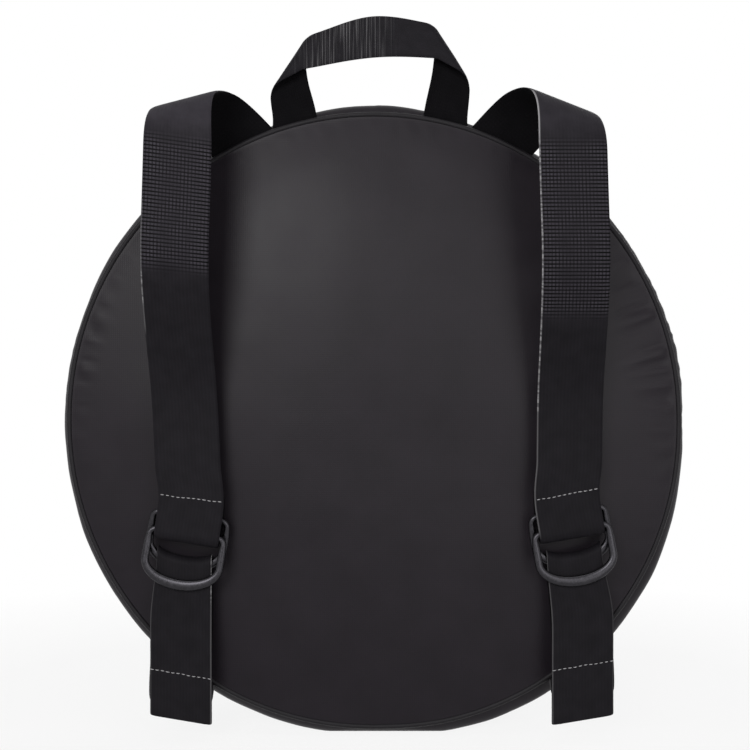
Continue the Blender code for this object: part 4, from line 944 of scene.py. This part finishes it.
class Bend:
    """One roll in a strip: where its crease starts on the strip's middle line, how the crease slants, and
    the roll's radius and angle. A positive angle rolls toward the strip's face."""

    def __init__(self, start, slant, radius, angle):
        self.start = start
        self.slant = slant
        self.radius = radius
        self.angle = angle
        self.arc = radius * abs(angle)

    def split(self, across, along):
        """A flat point as (distance along the crease, distance beyond it)."""
        ahead = along - self.start
        return (across * math.cos(self.slant) + ahead * math.sin(self.slant),
                ahead * math.cos(self.slant) - across * math.sin(self.slant))

    def move(self, point, flat):
        """Rolls one point, which later bends may have lifted, by where it lay on the flat strip."""
        beyond = self.split(*flat)[1]
        if beyond <= 0:
            return point
        side = math.copysign(1, self.angle)
        crease, ahead = self.split(point[0], point[1])
        turn = min(beyond / self.radius, abs(self.angle))
        rest = ahead - self.radius * turn
        inner = self.radius - side * point[2]
        out = inner * math.sin(turn) + rest * math.cos(turn)
        lift = side * (self.radius - inner * math.cos(turn) + rest * math.sin(turn))
        return (crease * math.cos(self.slant) - out * math.sin(self.slant),
                self.start + crease * math.sin(self.slant) + out * math.cos(self.slant), lift)


def bent_point(across, along, height, bends):
    """Where a point of the flat strip lies once every bend is made, the last one first."""
    point = (across, along, height)
    for bend in reversed(bends):
        point = bend.move(point, (across, along))
    return Vector(point)


class Strip:
    """A strip of webbing: its bends, its length, and the matrix that places its root."""

    def __init__(self, runs, last_run, place, width=None, shift=None, end_slants=(0.0, 0.0)):
        self.bends, along = [], 0.0
        for run, slant, radius, angle in runs:
            along += run
            self.bends.append(Bend(along, slant, radius, angle))
            along += self.bends[-1].arc / math.cos(slant)
        self.length = along + last_run
        self.place = place
        self.width = width or (lambda along: WEBBING_WIDTH)
        self.shift = shift or (lambda point, along: point)
        self.end_slants = end_slants

    def point(self, across, along, height=0.0):
        """Where this point of the flat strip lies on the bag."""
        return self.shift(self.place @ bent_point(across, along, height, self.bends), along)

    def slant_at(self, along):
        """Slant of the rows at this place: the creases' own slant in the bends, evenly turned between."""
        marks = [(0.0, self.end_slants[0])]
        for bend in self.bends:
            marks += [(bend.start, bend.slant), (bend.start + bend.arc / math.cos(bend.slant), bend.slant)]
        marks.append((self.length, self.end_slants[1]))
        for (low, slant), (high, next_slant) in zip(marks, marks[1:]):
            if along <= high:
                share = (along - low) / (high - low) if high - low > GAP / 100 else 1.0
                return slant + (next_slant - slant) * share
        return self.end_slants[1]

    def rows(self, start, end, bend_step, run_step):
        """Places of the rows between start and end: close in the bends, wider between."""
        marks = [0.0]
        for bend in self.bends:
            marks += [bend.start, bend.start + bend.arc / math.cos(bend.slant)]
        marks.append(self.length)
        places = []
        for index, (low, high) in enumerate(zip(marks, marks[1:])):
            step = run_step
            if index % 2:
                step = min(run_step, self.bends[index // 2].radius * bend_step)
            count = max(1, math.ceil((high - low) / step))
            places += [low + (high - low) * i / count for i in range(count)]
        places = [place for place in places if start + GAP < place < end - GAP]
        return [start, *places, end]

    def skin(self, name, material, start=0.0, end=None, cells=14, bend_step=math.radians(7), run_step=3 * MM,
             painted_shade_side=1):
        """The strip from start to end as a closed soft-edged solid. Its last argument is 1 where its face is
        the webbing's inner side, which is painted near black as shade, and -1 where its back is."""
        end = self.length if end is None else end
        half = WEBBING_THICKNESS / 2
        shares = [math.sin(math.pi / 2 * (2 * cell / cells - 1)) for cell in range(cells + 1)]
        section = [(share, half * (1 - abs(share) ** 14) ** 0.5) for share in shares]
        section += [(share, -height) for share, height in reversed(section[1:-1])]
        points, faces, charts = [], [], []
        rows = self.rows(start, end, bend_step, run_step)
        for along in rows:
            slant = self.slant_at(along)
            reach = self.width(along) / 2
            wave = WEBBING_WAVE * noise.noise(Vector((along * 60, reach * 900, 1.0)))
            for share, height in section:
                across = reach * share
                at = along + across * math.tan(slant)
                points.append(self.point(across, at, height + wave))
                charts.append((WEBBING_WIDTH / 2 * share, at))
        count = len(section)
        for row in range(len(rows) - 1):
            for index in range(count):
                here, after = row * count + index, row * count + (index + 1) % count
                faces.append((here, after, after + count, here + count))
        for base in (0, (len(rows) - 1) * count):
            for cell in range(cells):
                corner = [cell, cell + 1, count - cell - 1, (count - cell) % count]
                faces.append(tuple(base + place for place in dict.fromkeys(corner)))
        made = piece(name, points, faces, charts, material, smooth_angle=60)
        # The webbing's inner side goes on as a second material, painted near black as shade
        made.data.materials.append(finish("webbing_painted_shade"))
        for face in made.data.polygons:
            on_face = face.index % count < cells
            if on_face == (painted_shade_side == 1) and face.index < (len(rows) - 1) * count:
                face.material_index = 1
        return made

    def stitches(self, name, along, front, inset=0.4 * MM, tilt=0.0):
        """A row of stitches across the strip, on its face or its back."""
        sizes = bpy.context.scene.backpack_sizes
        reach = self.width(along) / 2 - inset
        height = (1 if front else -1) * WEBBING_THICKNESS / 2

        def path(distance):
            across = distance - reach
            wander = STITCH_WANDER * noise.noise(Vector((distance * 120, along * 40, 2.0)))
            at = along + across * math.tan(tilt) + wander
            low, high = self.point(across, at, 0.0), self.point(across, at, height)
            return high, (high - low).normalized()

        return piece(name, *stitch_line(path, 2 * reach, sizes.stitch_pitch, sizes.thread_radius),
                     "spun_thread", smooth_angle=80)


def upright_place(root, lean, sign, up):
    """Puts a strip's root at a point of the back seam, with its face toward the wearer."""
    along = Vector((sign * math.sin(lean), 0, math.cos(lean) * (1 if up else -1)))
    face = Vector((0, -1, 0))
    across = along.cross(face)
    columns = Matrix((across, along, face)).transposed().to_4x4()
    return Matrix.Translation(root) @ columns


def seam_root(x, below=False, sign=1):
    """How far above or below the bag's middle a webbing's sewn end lies at this distance from its middle,
    and the slope of the seam under the webbing's width."""
    def height(place):
        radius = SEAM_ROOT_RADIUS
        if below:
            radius += belly(sign * math.asin(place / radius), BACK_SEAM_Y)
        return math.sqrt(radius ** 2 - place ** 2)

    reach = WEBBING_WIDTH / 2
    return height(x), math.atan((height(x - reach) - height(x + reach)) / (2 * reach))


def drift(run, lean, slant, arc, up):
    """Step of a strip's middle line in the seam's plane, over a straight run and a half roll."""
    along = Vector((math.sin(lean), math.cos(lean) * (1 if up else -1)))
    crease_angle = slant if up else -slant
    crease = Vector((math.cos(crease_angle), -math.sin(crease_angle)))
    return along * run + crease * arc * math.tan(slant)


def strap_strip(side):
    """The shoulder strap, from the top seam over its roll and down round the two ring bars."""
    sign = SIDES[side]
    lean = STRAP_LEAN
    slant = lean / 2
    rise = STRAP_RISE + STRAP_LIFT[side]
    roll = [(rise, slant, ROLL_TIGHT_RADIUS, ROLL_TIGHT_ANGLE),
            (0.0, slant, ROLL_WIDE_RADIUS, ROLL_WIDE_ANGLE),
            (0.0, slant, ROLL_TIGHT_RADIUS, ROLL_TIGHT_ANGLE)]
    arc = sum(radius * angle for _, _, radius, angle in roll)
    step = drift(rise, lean, slant, arc, True)
    root_x = FALL_OUT[side] - step.x
    root_height, seam_slope = seam_root(root_x + STRAP_SLIDE[side])
    root_z = STAND_HEIGHT + root_height
    loop_radius = BAR_OFFSET + RING_WIRE + GAP + WEBBING_THICKNESS / 2
    front_y = RING_Y - loop_radius
    inward = front_y - (ROOT_Y - ROLL_FORWARD)
    sway_step = 2 * SWAY_RADIUS * (1 - math.cos(SWAY_ANGLE))
    sway_run = (inward - sway_step) / math.sin(SWAY_ANGLE)
    sway_drop = 2 * SWAY_RADIUS * math.sin(SWAY_ANGLE) + sway_run * math.cos(SWAY_ANGLE)
    pivot = Vector((sign * RING_OUT[side], 0, STAND_HEIGHT - UPPER_BAR_BELOW[side]))
    loop_z = pivot.z - RING_SPACING
    last_drop = root_z + step.y - STRAP_DROP - sway_drop - loop_z
    flap = 2 * FLAP_BEND_RADIUS * math.sin(FLAP_BEND_ANGLE)
    flap_turn = 2 * FLAP_BEND_RADIUS * (1 - math.cos(FLAP_BEND_ANGLE))
    flap_in = 2 * loop_radius - WEBBING_THICKNESS - GAP - flap_turn
    flap_run = flap_in / math.sin(FLAP_BEND_ANGLE)
    runs = [(run, sign * slant, radius, angle) for run, _, radius, angle in roll]
    runs += [(STRAP_DROP, 0.0, SWAY_RADIUS, SWAY_ANGLE),
             (sway_run, 0.0, SWAY_RADIUS, -SWAY_ANGLE),
             (last_drop, 0.0, loop_radius, math.pi),
             (RING_SPACING, 0.0, FLAP_BEND_RADIUS, FLAP_BEND_ANGLE),
             (flap_run, 0.0, FLAP_BEND_RADIUS, -FLAP_BEND_ANGLE)]
    tip = END_FLAP - RING_SPACING - flap - flap_run * math.cos(FLAP_BEND_ANGLE)
    low, high = loop_z, loop_z + STRAP_DROP + sway_drop
    roll_end = rise + arc / math.cos(slant) / 2
    crest = root_z + step.y + ROLL_TIGHT_RADIUS

    def shift(point, along):
        """Twists the roll, bows the fall outward, slides both ends sideways and turns the lower one with
        the rings."""
        twist_share = smooth_share((point.z - low) / (crest - low)) * smooth_share(along / roll_end)
        point.z += sign * (point.x - sign * FALL_OUT[side]) * ROLL_TWIST_SHARE[side] * twist_share
        near_share = smooth_share((high - point.z) / (high - low))
        point.x += sign * (RING_OUT[side] - FALL_OUT[side]) * near_share
        point.x += sign * STRAP_SLIDE[side] * (1 - smooth_share(along / (2 * roll_end)))
        fallen = min(max((crest - point.z) / (crest - low), 0.0), 1.0)
        point.x += sign * STRAP_BOW * math.sin(math.pi * fallen) ** 2
        tilt_share = smooth_share((pivot.z + RING_HEIGHT - point.z) / RING_HEIGHT)
        return pivot + Matrix.Rotation(-sign * RING_TILT * tilt_share, 3, "Y") @ (point - pivot)

    root = Vector((sign * root_x, ROOT_Y, root_z))
    place = upright_place(root, lean, sign, True)
    strip = Strip(runs, tip, place, width=lambda along: SHOULDER_WIDTH, shift=shift,
                  end_slants=(sign * (lean - seam_slope), 0.0))
    strip.loop_start = strip.bends[5].start
    return strip


def rings_frame(side):
    """The tilted frame in which a strap's two rings, its end and the webbing through them lie."""
    sign = SIDES[side]
    return (Matrix.Translation((sign * RING_OUT[side], RING_Y, STAND_HEIGHT - UPPER_BAR_BELOW[side]))
            @ Matrix.Rotation(-sign * RING_TILT, 4, "Y"))


def bow_offset():
    """How far each ring's bow lies from the plane between the rings: the tail runs between them."""
    return (FOLD_RADIUS + WEBBING_THICKNESS / 2 + RING_WIRE) / 2 + 2 * GAP


def ring_place(side, upper):
    """Frame of a ring: its bar runs along X through the origin, and its bow hangs below, spread from the
    other ring's."""
    lean = bow_offset() - BAR_OFFSET
    spread = math.asin(lean / RING_HEIGHT) * (1 if upper else -1)
    corner = (0, BAR_OFFSET, 0) if upper else (0, -BAR_OFFSET, -RING_SPACING)
    return rings_frame(side) @ Matrix.Translation(corner) @ Matrix.Rotation(spread, 4, "X")


def bow_point(angle, inset):
    """A point of a ring's bow, or of a curve inside it, at this angle from straight down."""
    return Vector(((RING_HALF_WIDTH - inset) * math.sin(angle),
                   RING_BOW - RING_HEIGHT - (RING_BOW - inset) * math.cos(angle)))


def seat_point(reach):
    """Where webbing that lies in the upper ring's bow is, at this distance from the bow's middle."""
    steps, angle, travelled = 90, 0.0, 0.0
    here = bow_point(0.0, FOLD_STAND)
    for index in range(1, steps + 1):
        angle = math.pi / 2 * index / steps
        there = bow_point(angle, FOLD_STAND)
        stretch = (there - here).length
        if travelled + stretch >= abs(reach):
            here = here.lerp(there, (abs(reach) - travelled) / stretch)
            travelled = abs(reach)
            break
        here, travelled = there, travelled + stretch
    here = here + Vector((0, abs(reach) - travelled))
    low = FOLD_STAND - RING_HEIGHT
    return Vector((math.copysign(here.x, reach), low + (here.y - low) * SEAT_CLIMB_SHARE))


def lower_strip(side):
    """The lower strap and its tail as one strip: seam, turn, up behind the rings, over the upper ring's
    bow, down between the rings, and the hem."""
    sign = SIDES[side]
    lean, slant = LOWER_LEAN, LOWER_LEAN / 2
    upper_bow_y = RING_Y + bow_offset()
    up_y = upper_bow_y + FOLD_RADIUS
    turn_radius = (ROOT_Y - up_y) / 2
    step = drift(LOWER_ROOT_RUN, lean, slant, math.pi * turn_radius, False)
    root_x = LOWER_OUT[side] - step.x
    root_height, seam_slope = seam_root(root_x + LOWER_SLIDE, below=True, sign=sign)
    root_z = STAND_HEIGHT - root_height
    bar_z = STAND_HEIGHT - UPPER_BAR_BELOW[side]
    crest = bar_z - RING_HEIGHT * math.cos(RING_TILT) + FOLD_STAND
    up_run = crest - FOLD_RADIUS - (root_z + step.y)
    fold_low = crest - FOLD_RADIUS
    down_run = fold_low - (STAND_HEIGHT - TAIL_END_BELOW + HEM_RADIUS)
    runs = [(LOWER_ROOT_RUN, sign * -slant, turn_radius, math.pi),
            (up_run, 0.0, FOLD_RADIUS, -math.pi),
            (down_run, 0.0, HEM_RADIUS, -math.pi)]
    turn_end = LOWER_ROOT_RUN + math.pi * turn_radius / math.cos(slant)
    fold_start = turn_end + up_run

    def shift(point, along):
        """Draws the webbing into the curve of the upper ring's bow. The tail beyond hangs slanted, and the
        sewn end lies further out than the rings do."""
        near_share = smooth_share((point.z - crest + RING_SETTLE) / RING_SETTLE)
        reach = sign * point.x - LOWER_OUT[side]
        seat = seat_point(reach + SEAT_SLIDE)
        turned_x = seat.x * math.cos(RING_TILT) - seat.y * math.sin(RING_TILT)
        turned_z = seat.x * math.sin(RING_TILT) + seat.y * math.cos(RING_TILT)
        slanted = reach * math.tan(RING_TILT) if along > fold_start else 0.0
        goal_x = RING_OUT[side] + turned_x
        goal_z = bar_z + turned_z
        point.x += sign * (goal_x - sign * point.x) * near_share
        point.z += slanted + (goal_z - crest - slanted) * near_share
        point.x += sign * LOWER_SLIDE * (1 - smooth_share((along - turn_end) / LOWER_SLIDE_FADE))
        return point

    root = Vector((sign * root_x, ROOT_Y, root_z))
    place = upright_place(root, lean, sign, False)
    strip = Strip(runs, HEM_LENGTH, place, width=lambda along: LOWER_WIDTH, shift=shift,
                  end_slants=(sign * (seam_slope - lean), 0.0))
    strip.hinge = (fold_start + math.pi * FOLD_RADIUS + fold_low
                   - (STAND_HEIGHT - TAIL_HINGE_BELOW))
    strip.fold_start = fold_start
    strip.hem_start = strip.bends[2].start
    return strip


def build_straps(side):
    """Shoulder strap, lower strap and loose tail of one side, with their stitching."""
    strap = strap_strip(side)
    made = strap.skin(f"strap_webbing_{side}", f"{side}_shoulder_webbing")
    root = strap.point(0.0, 0.0)
    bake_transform(made)
    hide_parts(f"shoulder_strap_{side}", f"strap_root_{side}")
    row = strap.stitches(f"strap_end_stitches_{side}", strap.loop_start - END_STITCHES_ABOVE,
                         front=False, tilt=END_STITCHES_TILT[side])
    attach(row, f"strap_{side}")

    lower = lower_strip(side)
    made = lower.skin(f"lower_webbing_{side}", f"{side}_lower_webbing", end=lower.fold_start,
                      painted_shade_side=-1)
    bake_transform(made)
    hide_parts(f"lower_strap_{side}", f"lower_root_{side}")
    made = lower.skin(f"tail_webbing_{side}", f"{side}_lower_webbing", start=lower.fold_start,
                      painted_shade_side=-1)
    hinge = lower.point(0.0, lower.hinge)
    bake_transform(made)
    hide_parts(f"strap_tail_{side}")
    row = lower.stitches(f"hem_stitches_{side}", lower.hem_start - HEM_STITCHES_ABOVE[side], front=True)
    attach(row, f"tail_{side}")


def ring_path():
    """Centre line of a ring, with its half height at each point."""
    corner, half = RING_CORNER, RING_HALF_WIDTH
    path = [(Vector((half * share, 0)), RING_WIRE) for share in (0.0, 0.3, 0.6)]
    arm = RING_WIRE + (RING_BAND - RING_WIRE) * RING_ARM_SHARE
    corner_steps = 6
    for step in range(corner_steps + 1):
        angle = math.pi / 2 * step / corner_steps
        path.append((Vector((half - corner + corner * math.sin(angle), corner * math.cos(angle) - corner)),
                     RING_WIRE))
    low = RING_BOW - RING_HEIGHT
    path += [(Vector((half, -corner + (low + corner) * share)), arm) for share in (0.33, 0.66)]
    bow_steps = 44
    for step in range(bow_steps // 2 + 1):
        angle = math.pi / 2 - math.pi * step / bow_steps
        path.append((bow_point(angle, 0.0), arm + (RING_BAND - arm) * math.cos(angle) ** 2))
    path += [(Vector((-point.x, point.y)), size) for point, size in reversed(path[1:-1])]
    return path


def build_ring(side, upper):
    """A cast D-ring: an oval section swept round the ring's outline, widest at the middle of its bow."""
    name = f"ring_{'upper' if upper else 'lower'}_{side}"
    place = ring_place(side, upper)
    path = ring_path()
    sides = 18
    points, faces, charts = [], [], []
    for index, (point, half_height) in enumerate(path):
        before, after = path[index - 1][0], path[(index + 1) % len(path)][0]
        heading = (after - before).normalized()
        outward = Vector((heading.y, -heading.x))
        for spot in range(sides):
            turn = 2 * math.pi * spot / sides
            offset = outward * half_height * squarish(math.cos(turn), RING_SQUARENESS)
            points.append(place @ Vector((point.x + offset.x,
                                          RING_WIRE * squarish(math.sin(turn), RING_SQUARENESS),
                                          point.y + offset.y)))
            charts.append((point.x, point.y))
            here = index * sides
            there = (index + 1) % len(path) * sides
            nxt = (spot + 1) % sides
            faces.append((here + spot, here + nxt, there + nxt, there + spot))
    made = piece(f"d_{name}", points, faces, charts, "gunmetal", smooth_angle=80)
    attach(made, f"strap_{side}" if upper else f"ring_{side}")
    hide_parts(name)


def handle_strip():
    """The handle: up one leg, a slanting roll, across, a second roll, and down the other leg."""
    slant = math.pi / 4
    root_height, seam_slope = seam_root(HANDLE_LEG_OUT)
    root_z = STAND_HEIGHT + root_height
    roll_arc = math.pi * HANDLE_ROLL
    corner = roll_arc * math.sin(slant)
    leg = STAND_HEIGHT + HANDLE_RUN_HEIGHT - corner - root_z
    across = 2 * (HANDLE_LEG_OUT - corner)
    runs = [(leg, slant, HANDLE_ROLL, math.pi), (across, -slant, HANDLE_ROLL, math.pi)]
    total = 2 * leg + across + 2 * roll_arc / math.cos(slant)
    fold_at = leg + roll_arc / math.cos(slant) / 2

    def width(along):
        """Full in the legs, drawn in at the rolls, and nearly full again across the top."""
        from_end = min(along, total - along)
        if from_end < fold_at:
            share = smooth_share(from_end / fold_at)
            return HANDLE_LEG_WIDTH + (HANDLE_FOLD_WIDTH - HANDLE_LEG_WIDTH) * share
        share = smooth_share((from_end - fold_at) / (total / 2 - fold_at))
        return HANDLE_FOLD_WIDTH + (HANDLE_RUN_WIDTH - HANDLE_FOLD_WIDTH) * share

    def shift(point, along):
        """Domes the top run, leans the legs outward, lets the corners sag, and moves the handle to the left,
        where it was sewn."""
        height_share = min(max((point.z - root_z) / (STAND_HEIGHT + HANDLE_RUN_HEIGHT - root_z), 0.0), 1.0)
        from_top = abs(point.x - HANDLE_DOME_OUT) / (HANDLE_LEG_OUT * HANDLE_DOME_SHARE)
        dome_share = (1 + math.cos(math.pi * min(from_top, 1))) / 2
        point.z += smooth_share(height_share) * (HANDLE_DOME * dome_share + HANDLE_SLOPE_SHARE * point.x)
        leg_share = min(max(point.x / HANDLE_LEG_OUT, -1.0), 1.0)
        corner_share = min(max((abs(point.x) - HANDLE_CORNER_OUT) / HANDLE_FOLD_WIDTH, 0.0), 1.0)
        up_share = min(height_share / HANDLE_CORNER_SHARE, 1.0)
        point.z -= HANDLE_CORNER_SAG[math.copysign(1, point.x)] * corner_share * up_share
        point.x += ((HANDLE_ROOT_IN + HANDLE_FOLD_OUT) * smooth_share(up_share) - HANDLE_ROOT_IN) * leg_share
        point.x -= HANDLE_SHIFT
        return point

    root = Vector((-HANDLE_LEG_OUT, ROOT_Y, root_z))
    place = upright_place(root, 0.0, -1, True)
    return Strip(runs, leg, place, width=width, shift=shift, end_slants=(seam_slope, -seam_slope))


def build_handle():
    """The grab handle."""
    made = handle_strip().skin("handle_webbing", "handle_webbing", run_step=2.5 * MM)
    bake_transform(made)
    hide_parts("grab_handle", "handle_root_left", "handle_root_right")


def build_sliders():
    """The CAD sliders and pulls stay: they get the plating and softened edges."""
    for side in SIDES:
        for name in (f"zip_slider_{side}", f"zip_pull_{side}"):
            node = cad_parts[name]
            node.data.materials.clear()
            node.data.materials.append(finish("gunmetal"))
            edges = node.modifiers.new("soft_edges", "BEVEL")
            edges.width = 0.18 * MM
            edges.segments = 2
            edges.limit_method = "ANGLE"


# Stage. Places and sizes are in metres, and powers in watts

LAMPS = (("key_lamp", (-0.48, -1.8, 0.75), (0.7, 0.7), 17),
         ("fill_lamp", (0.7, -1.8, 0.4), (0.7, 1.0), 7),
         ("top_lamp", (0.0, -0.5, 1.8), (0.8, 0.5), 3),
         ("rear_lamp", (0.5, 1.9, 0.8), (1.0, 1.0), 14))
WORLD_LIGHT = 0.1
FLOOR_REACH = 6.0
# Share of the floor near the object that is clear, and how far from the middle the rest of it fades
FLOOR_CLEAR_SHARE = 0.88
FLOOR_FADE = (0.3, 0.6)


def lamp(name, place, aim, size, power):
    """A soft rectangular lamp that points at aim."""
    light = bpy.data.lights.new(name, "AREA")
    light.energy = power
    light.shape = "RECTANGLE"
    light.size, light.size_y = size
    made = bpy.data.objects.new(name, light)
    made.location = place
    made.rotation_euler = (Vector(aim) - Vector(place)).to_track_quat("-Z", "Y").to_euler()
    bpy.context.scene.collection.objects.link(made)


def white_to_sight(tree):
    """1 for camera, glossy and transmission rays, and 0 for the light that falls on the object."""
    path = add_node(tree, "ShaderNodeLightPath")
    seen = path.outputs["Is Camera Ray"]
    for kind in ("Is Glossy Ray", "Is Transmission Ray"):
        seen = add_node(tree, "ShaderNodeMath", {0: seen, 1: path.outputs[kind]},
                        operation="MAXIMUM").outputs[0]
    return seen


def build_stage():
    """White surroundings, a white floor that keeps a faint shadow, soft lamps and the camera."""
    scene = bpy.context.scene
    scene.view_settings.view_transform = "Standard"
    world = bpy.data.worlds.new("studio_white")
    scene.world = world
    world.use_nodes = True
    tree = world.node_tree
    back = tree.nodes["Background"]
    strength = add_node(tree, "ShaderNodeMapRange", {"Value": white_to_sight(tree), "To Min": WORLD_LIGHT,
                                                     "To Max": 1.0}).outputs[0]
    back.inputs["Color"].default_value = (1, 1, 1, 1)
    tree.links.new(strength, back.inputs["Strength"])

    floor_material = bpy.data.materials.new("white_floor")
    floor_material.use_nodes = True
    tree = floor_material.node_tree
    shader = tree.nodes["Principled BSDF"]
    shader.inputs["Base Color"].default_value = (0.9, 0.9, 0.9, 1)
    shader.inputs["Roughness"].default_value = 0.9
    # Clear to the white world, so that no horizon shows and the open lid, which hangs below the floor, is
    # seen and lit. Near the object a share stays, which takes its shadow
    clear = add_node(tree, "ShaderNodeBsdfTransparent", {"Color": (1, 1, 1, 1)})
    lamp_ray = add_node(tree, "ShaderNodeLightPath").outputs["Is Shadow Ray"]
    point = add_node(tree, "ShaderNodeNewGeometry").outputs["Position"]
    away = add_node(tree, "ShaderNodeVectorMath", {0: point}, operation="LENGTH").outputs["Value"]
    clear_share = add_node(tree, "ShaderNodeMapRange", {
        "Value": away, "From Min": FLOOR_FADE[0], "From Max": FLOOR_FADE[1], "To Min": FLOOR_CLEAR_SHARE,
        "To Max": 1.0}).outputs[0]
    share = add_node(tree, "ShaderNodeMath", {0: white_to_sight(tree), 1: clear_share, 2: lamp_ray},
                     operation="MULTIPLY_ADD").outputs[0]
    mixed = add_node(tree, "ShaderNodeMixShader", {0: share, 1: shader.outputs[0], 2: clear.outputs[0]})
    tree.links.new(mixed.outputs[0], tree.nodes["Material Output"].inputs["Surface"])
    mesh = bpy.data.meshes.new("floor")
    reach = FLOOR_REACH
    mesh.from_pydata([(-reach, -reach, 0), (reach, -reach, 0), (reach, reach, 0), (-reach, reach, 0)], [],
                     [(0, 1, 2, 3)])
    mesh.materials.append(floor_material)
    floor = bpy.data.objects.new("floor", mesh)
    scene.collection.objects.link(floor)

    for name, place, size, power in LAMPS:
        lamp(name, place, (0, 0, STAND_HEIGHT), size, power)

    lens = bpy.data.cameras.new("photo_camera")
    lens.lens = CAMERA_LENS
    lens.sensor_width = 36
    camera = bpy.data.objects.new("photo_camera", lens)
    camera.location = CAMERA_PLACE
    camera.rotation_euler = (math.pi / 2, 0, 0)
    scene.collection.objects.link(camera)
    scene.camera = camera


# Operators

class BACKPACK_OT_panels(bpy.types.Operator):
    """Build the two padded round panels: cloth, foam and lining"""
    bl_idname = "backpack.panels"
    bl_label = "Panels"

    def execute(self, context):
        build_panel("back", False, "body")
        build_panel("front", True, "lid")
        return {"FINISHED"}


class BACKPACK_OT_seams(bpy.types.Operator):
    """Build the piping and the inner binding of the two rim seams"""
    bl_idname = "backpack.seams"
    bl_label = "Rim seams"

    def execute(self, context):
        build_seam("back", False, "body")
        build_seam("front", True, "lid")
        return {"FINISHED"}


class BACKPACK_OT_side_band(bpy.types.Operator):
    """Build the side band, the bottom band and the zip's tapes, coils and stitching"""
    bl_idname = "backpack.side_band"
    bl_label = "Side band and zip"

    def execute(self, context):
        build_band("back", False, "body")
        build_band("front", True, "lid")
        build_bottom_band()
        return {"FINISHED"}


class BACKPACK_OT_sliders(bpy.types.Operator):
    """Finish the zip's sliders and pulls"""
    bl_idname = "backpack.sliders"
    bl_label = "Sliders and pulls"

    def execute(self, context):
        build_sliders()
        return {"FINISHED"}


class BACKPACK_OT_straps(bpy.types.Operator):
    """Build the shoulder straps, the lower straps and their loose tails"""
    bl_idname = "backpack.straps"
    bl_label = "Straps"

    def execute(self, context):
        for side in SIDES:
            build_straps(side)
        return {"FINISHED"}


class BACKPACK_OT_rings(bpy.types.Operator):
    """Build the four cast D-rings"""
    bl_idname = "backpack.rings"
    bl_label = "D-rings"

    def execute(self, context):
        for side in SIDES:
            build_ring(side, True)
            build_ring(side, False)
        return {"FINISHED"}


class BACKPACK_OT_handle(bpy.types.Operator):
    """Build the grab handle"""
    bl_idname = "backpack.handle"
    bl_label = "Grab handle"

    def execute(self, context):
        build_handle()
        return {"FINISHED"}


class BACKPACK_OT_stage(bpy.types.Operator):
    """Set up the white floor and surroundings, the soft lamps and the camera"""
    bl_idname = "backpack.stage"
    bl_label = "Stage"

    def execute(self, context):
        build_stage()
        return {"FINISHED"}


STEPS = (BACKPACK_OT_stage, BACKPACK_OT_panels, BACKPACK_OT_seams, BACKPACK_OT_side_band, BACKPACK_OT_sliders,
         BACKPACK_OT_straps, BACKPACK_OT_rings, BACKPACK_OT_handle)


class BACKPACK_PT_panel(bpy.types.Panel):
    """Sizes, colours and the steps that build the backpack"""
    bl_idname = "BACKPACK_PT_panel"
    bl_label = "Backpack"
    bl_space_type = "VIEW_3D"
    bl_region_type = "UI"
    bl_category = "Backpack"

    def draw(self, context):
        for group in (context.scene.backpack_sizes, context.scene.backpack_colours):
            box = self.layout.box()
            for name in group.__annotations__:
                box.prop(group, name)
        for step in STEPS:
            self.layout.operator(step.bl_idname)


CLASSES = (BackpackSizes, BackpackColours, *STEPS, BACKPACK_PT_panel)


def register():
    """Adds the property groups, operators and panel to Blender."""
    for made in CLASSES:
        bpy.utils.register_class(made)
    bpy.types.Scene.backpack_sizes = bpy.props.PointerProperty(type=BackpackSizes)
    bpy.types.Scene.backpack_colours = bpy.props.PointerProperty(type=BackpackColours)


def unregister():
    """Takes the panel, the operators and the property groups out of Blender again."""
    del bpy.types.Scene.backpack_colours
    del bpy.types.Scene.backpack_sizes
    for made in reversed(CLASSES):
        bpy.utils.unregister_class(made)


def main():
    """Registers the add-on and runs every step."""
    register()
    bpy.ops.backpack.stage()
    bpy.ops.backpack.panels()
    bpy.ops.backpack.seams()
    bpy.ops.backpack.side_band()
    bpy.ops.backpack.sliders()
    bpy.ops.backpack.straps()
    bpy.ops.backpack.rings()
    bpy.ops.backpack.handle()


if __name__ == "__main__":
    main()
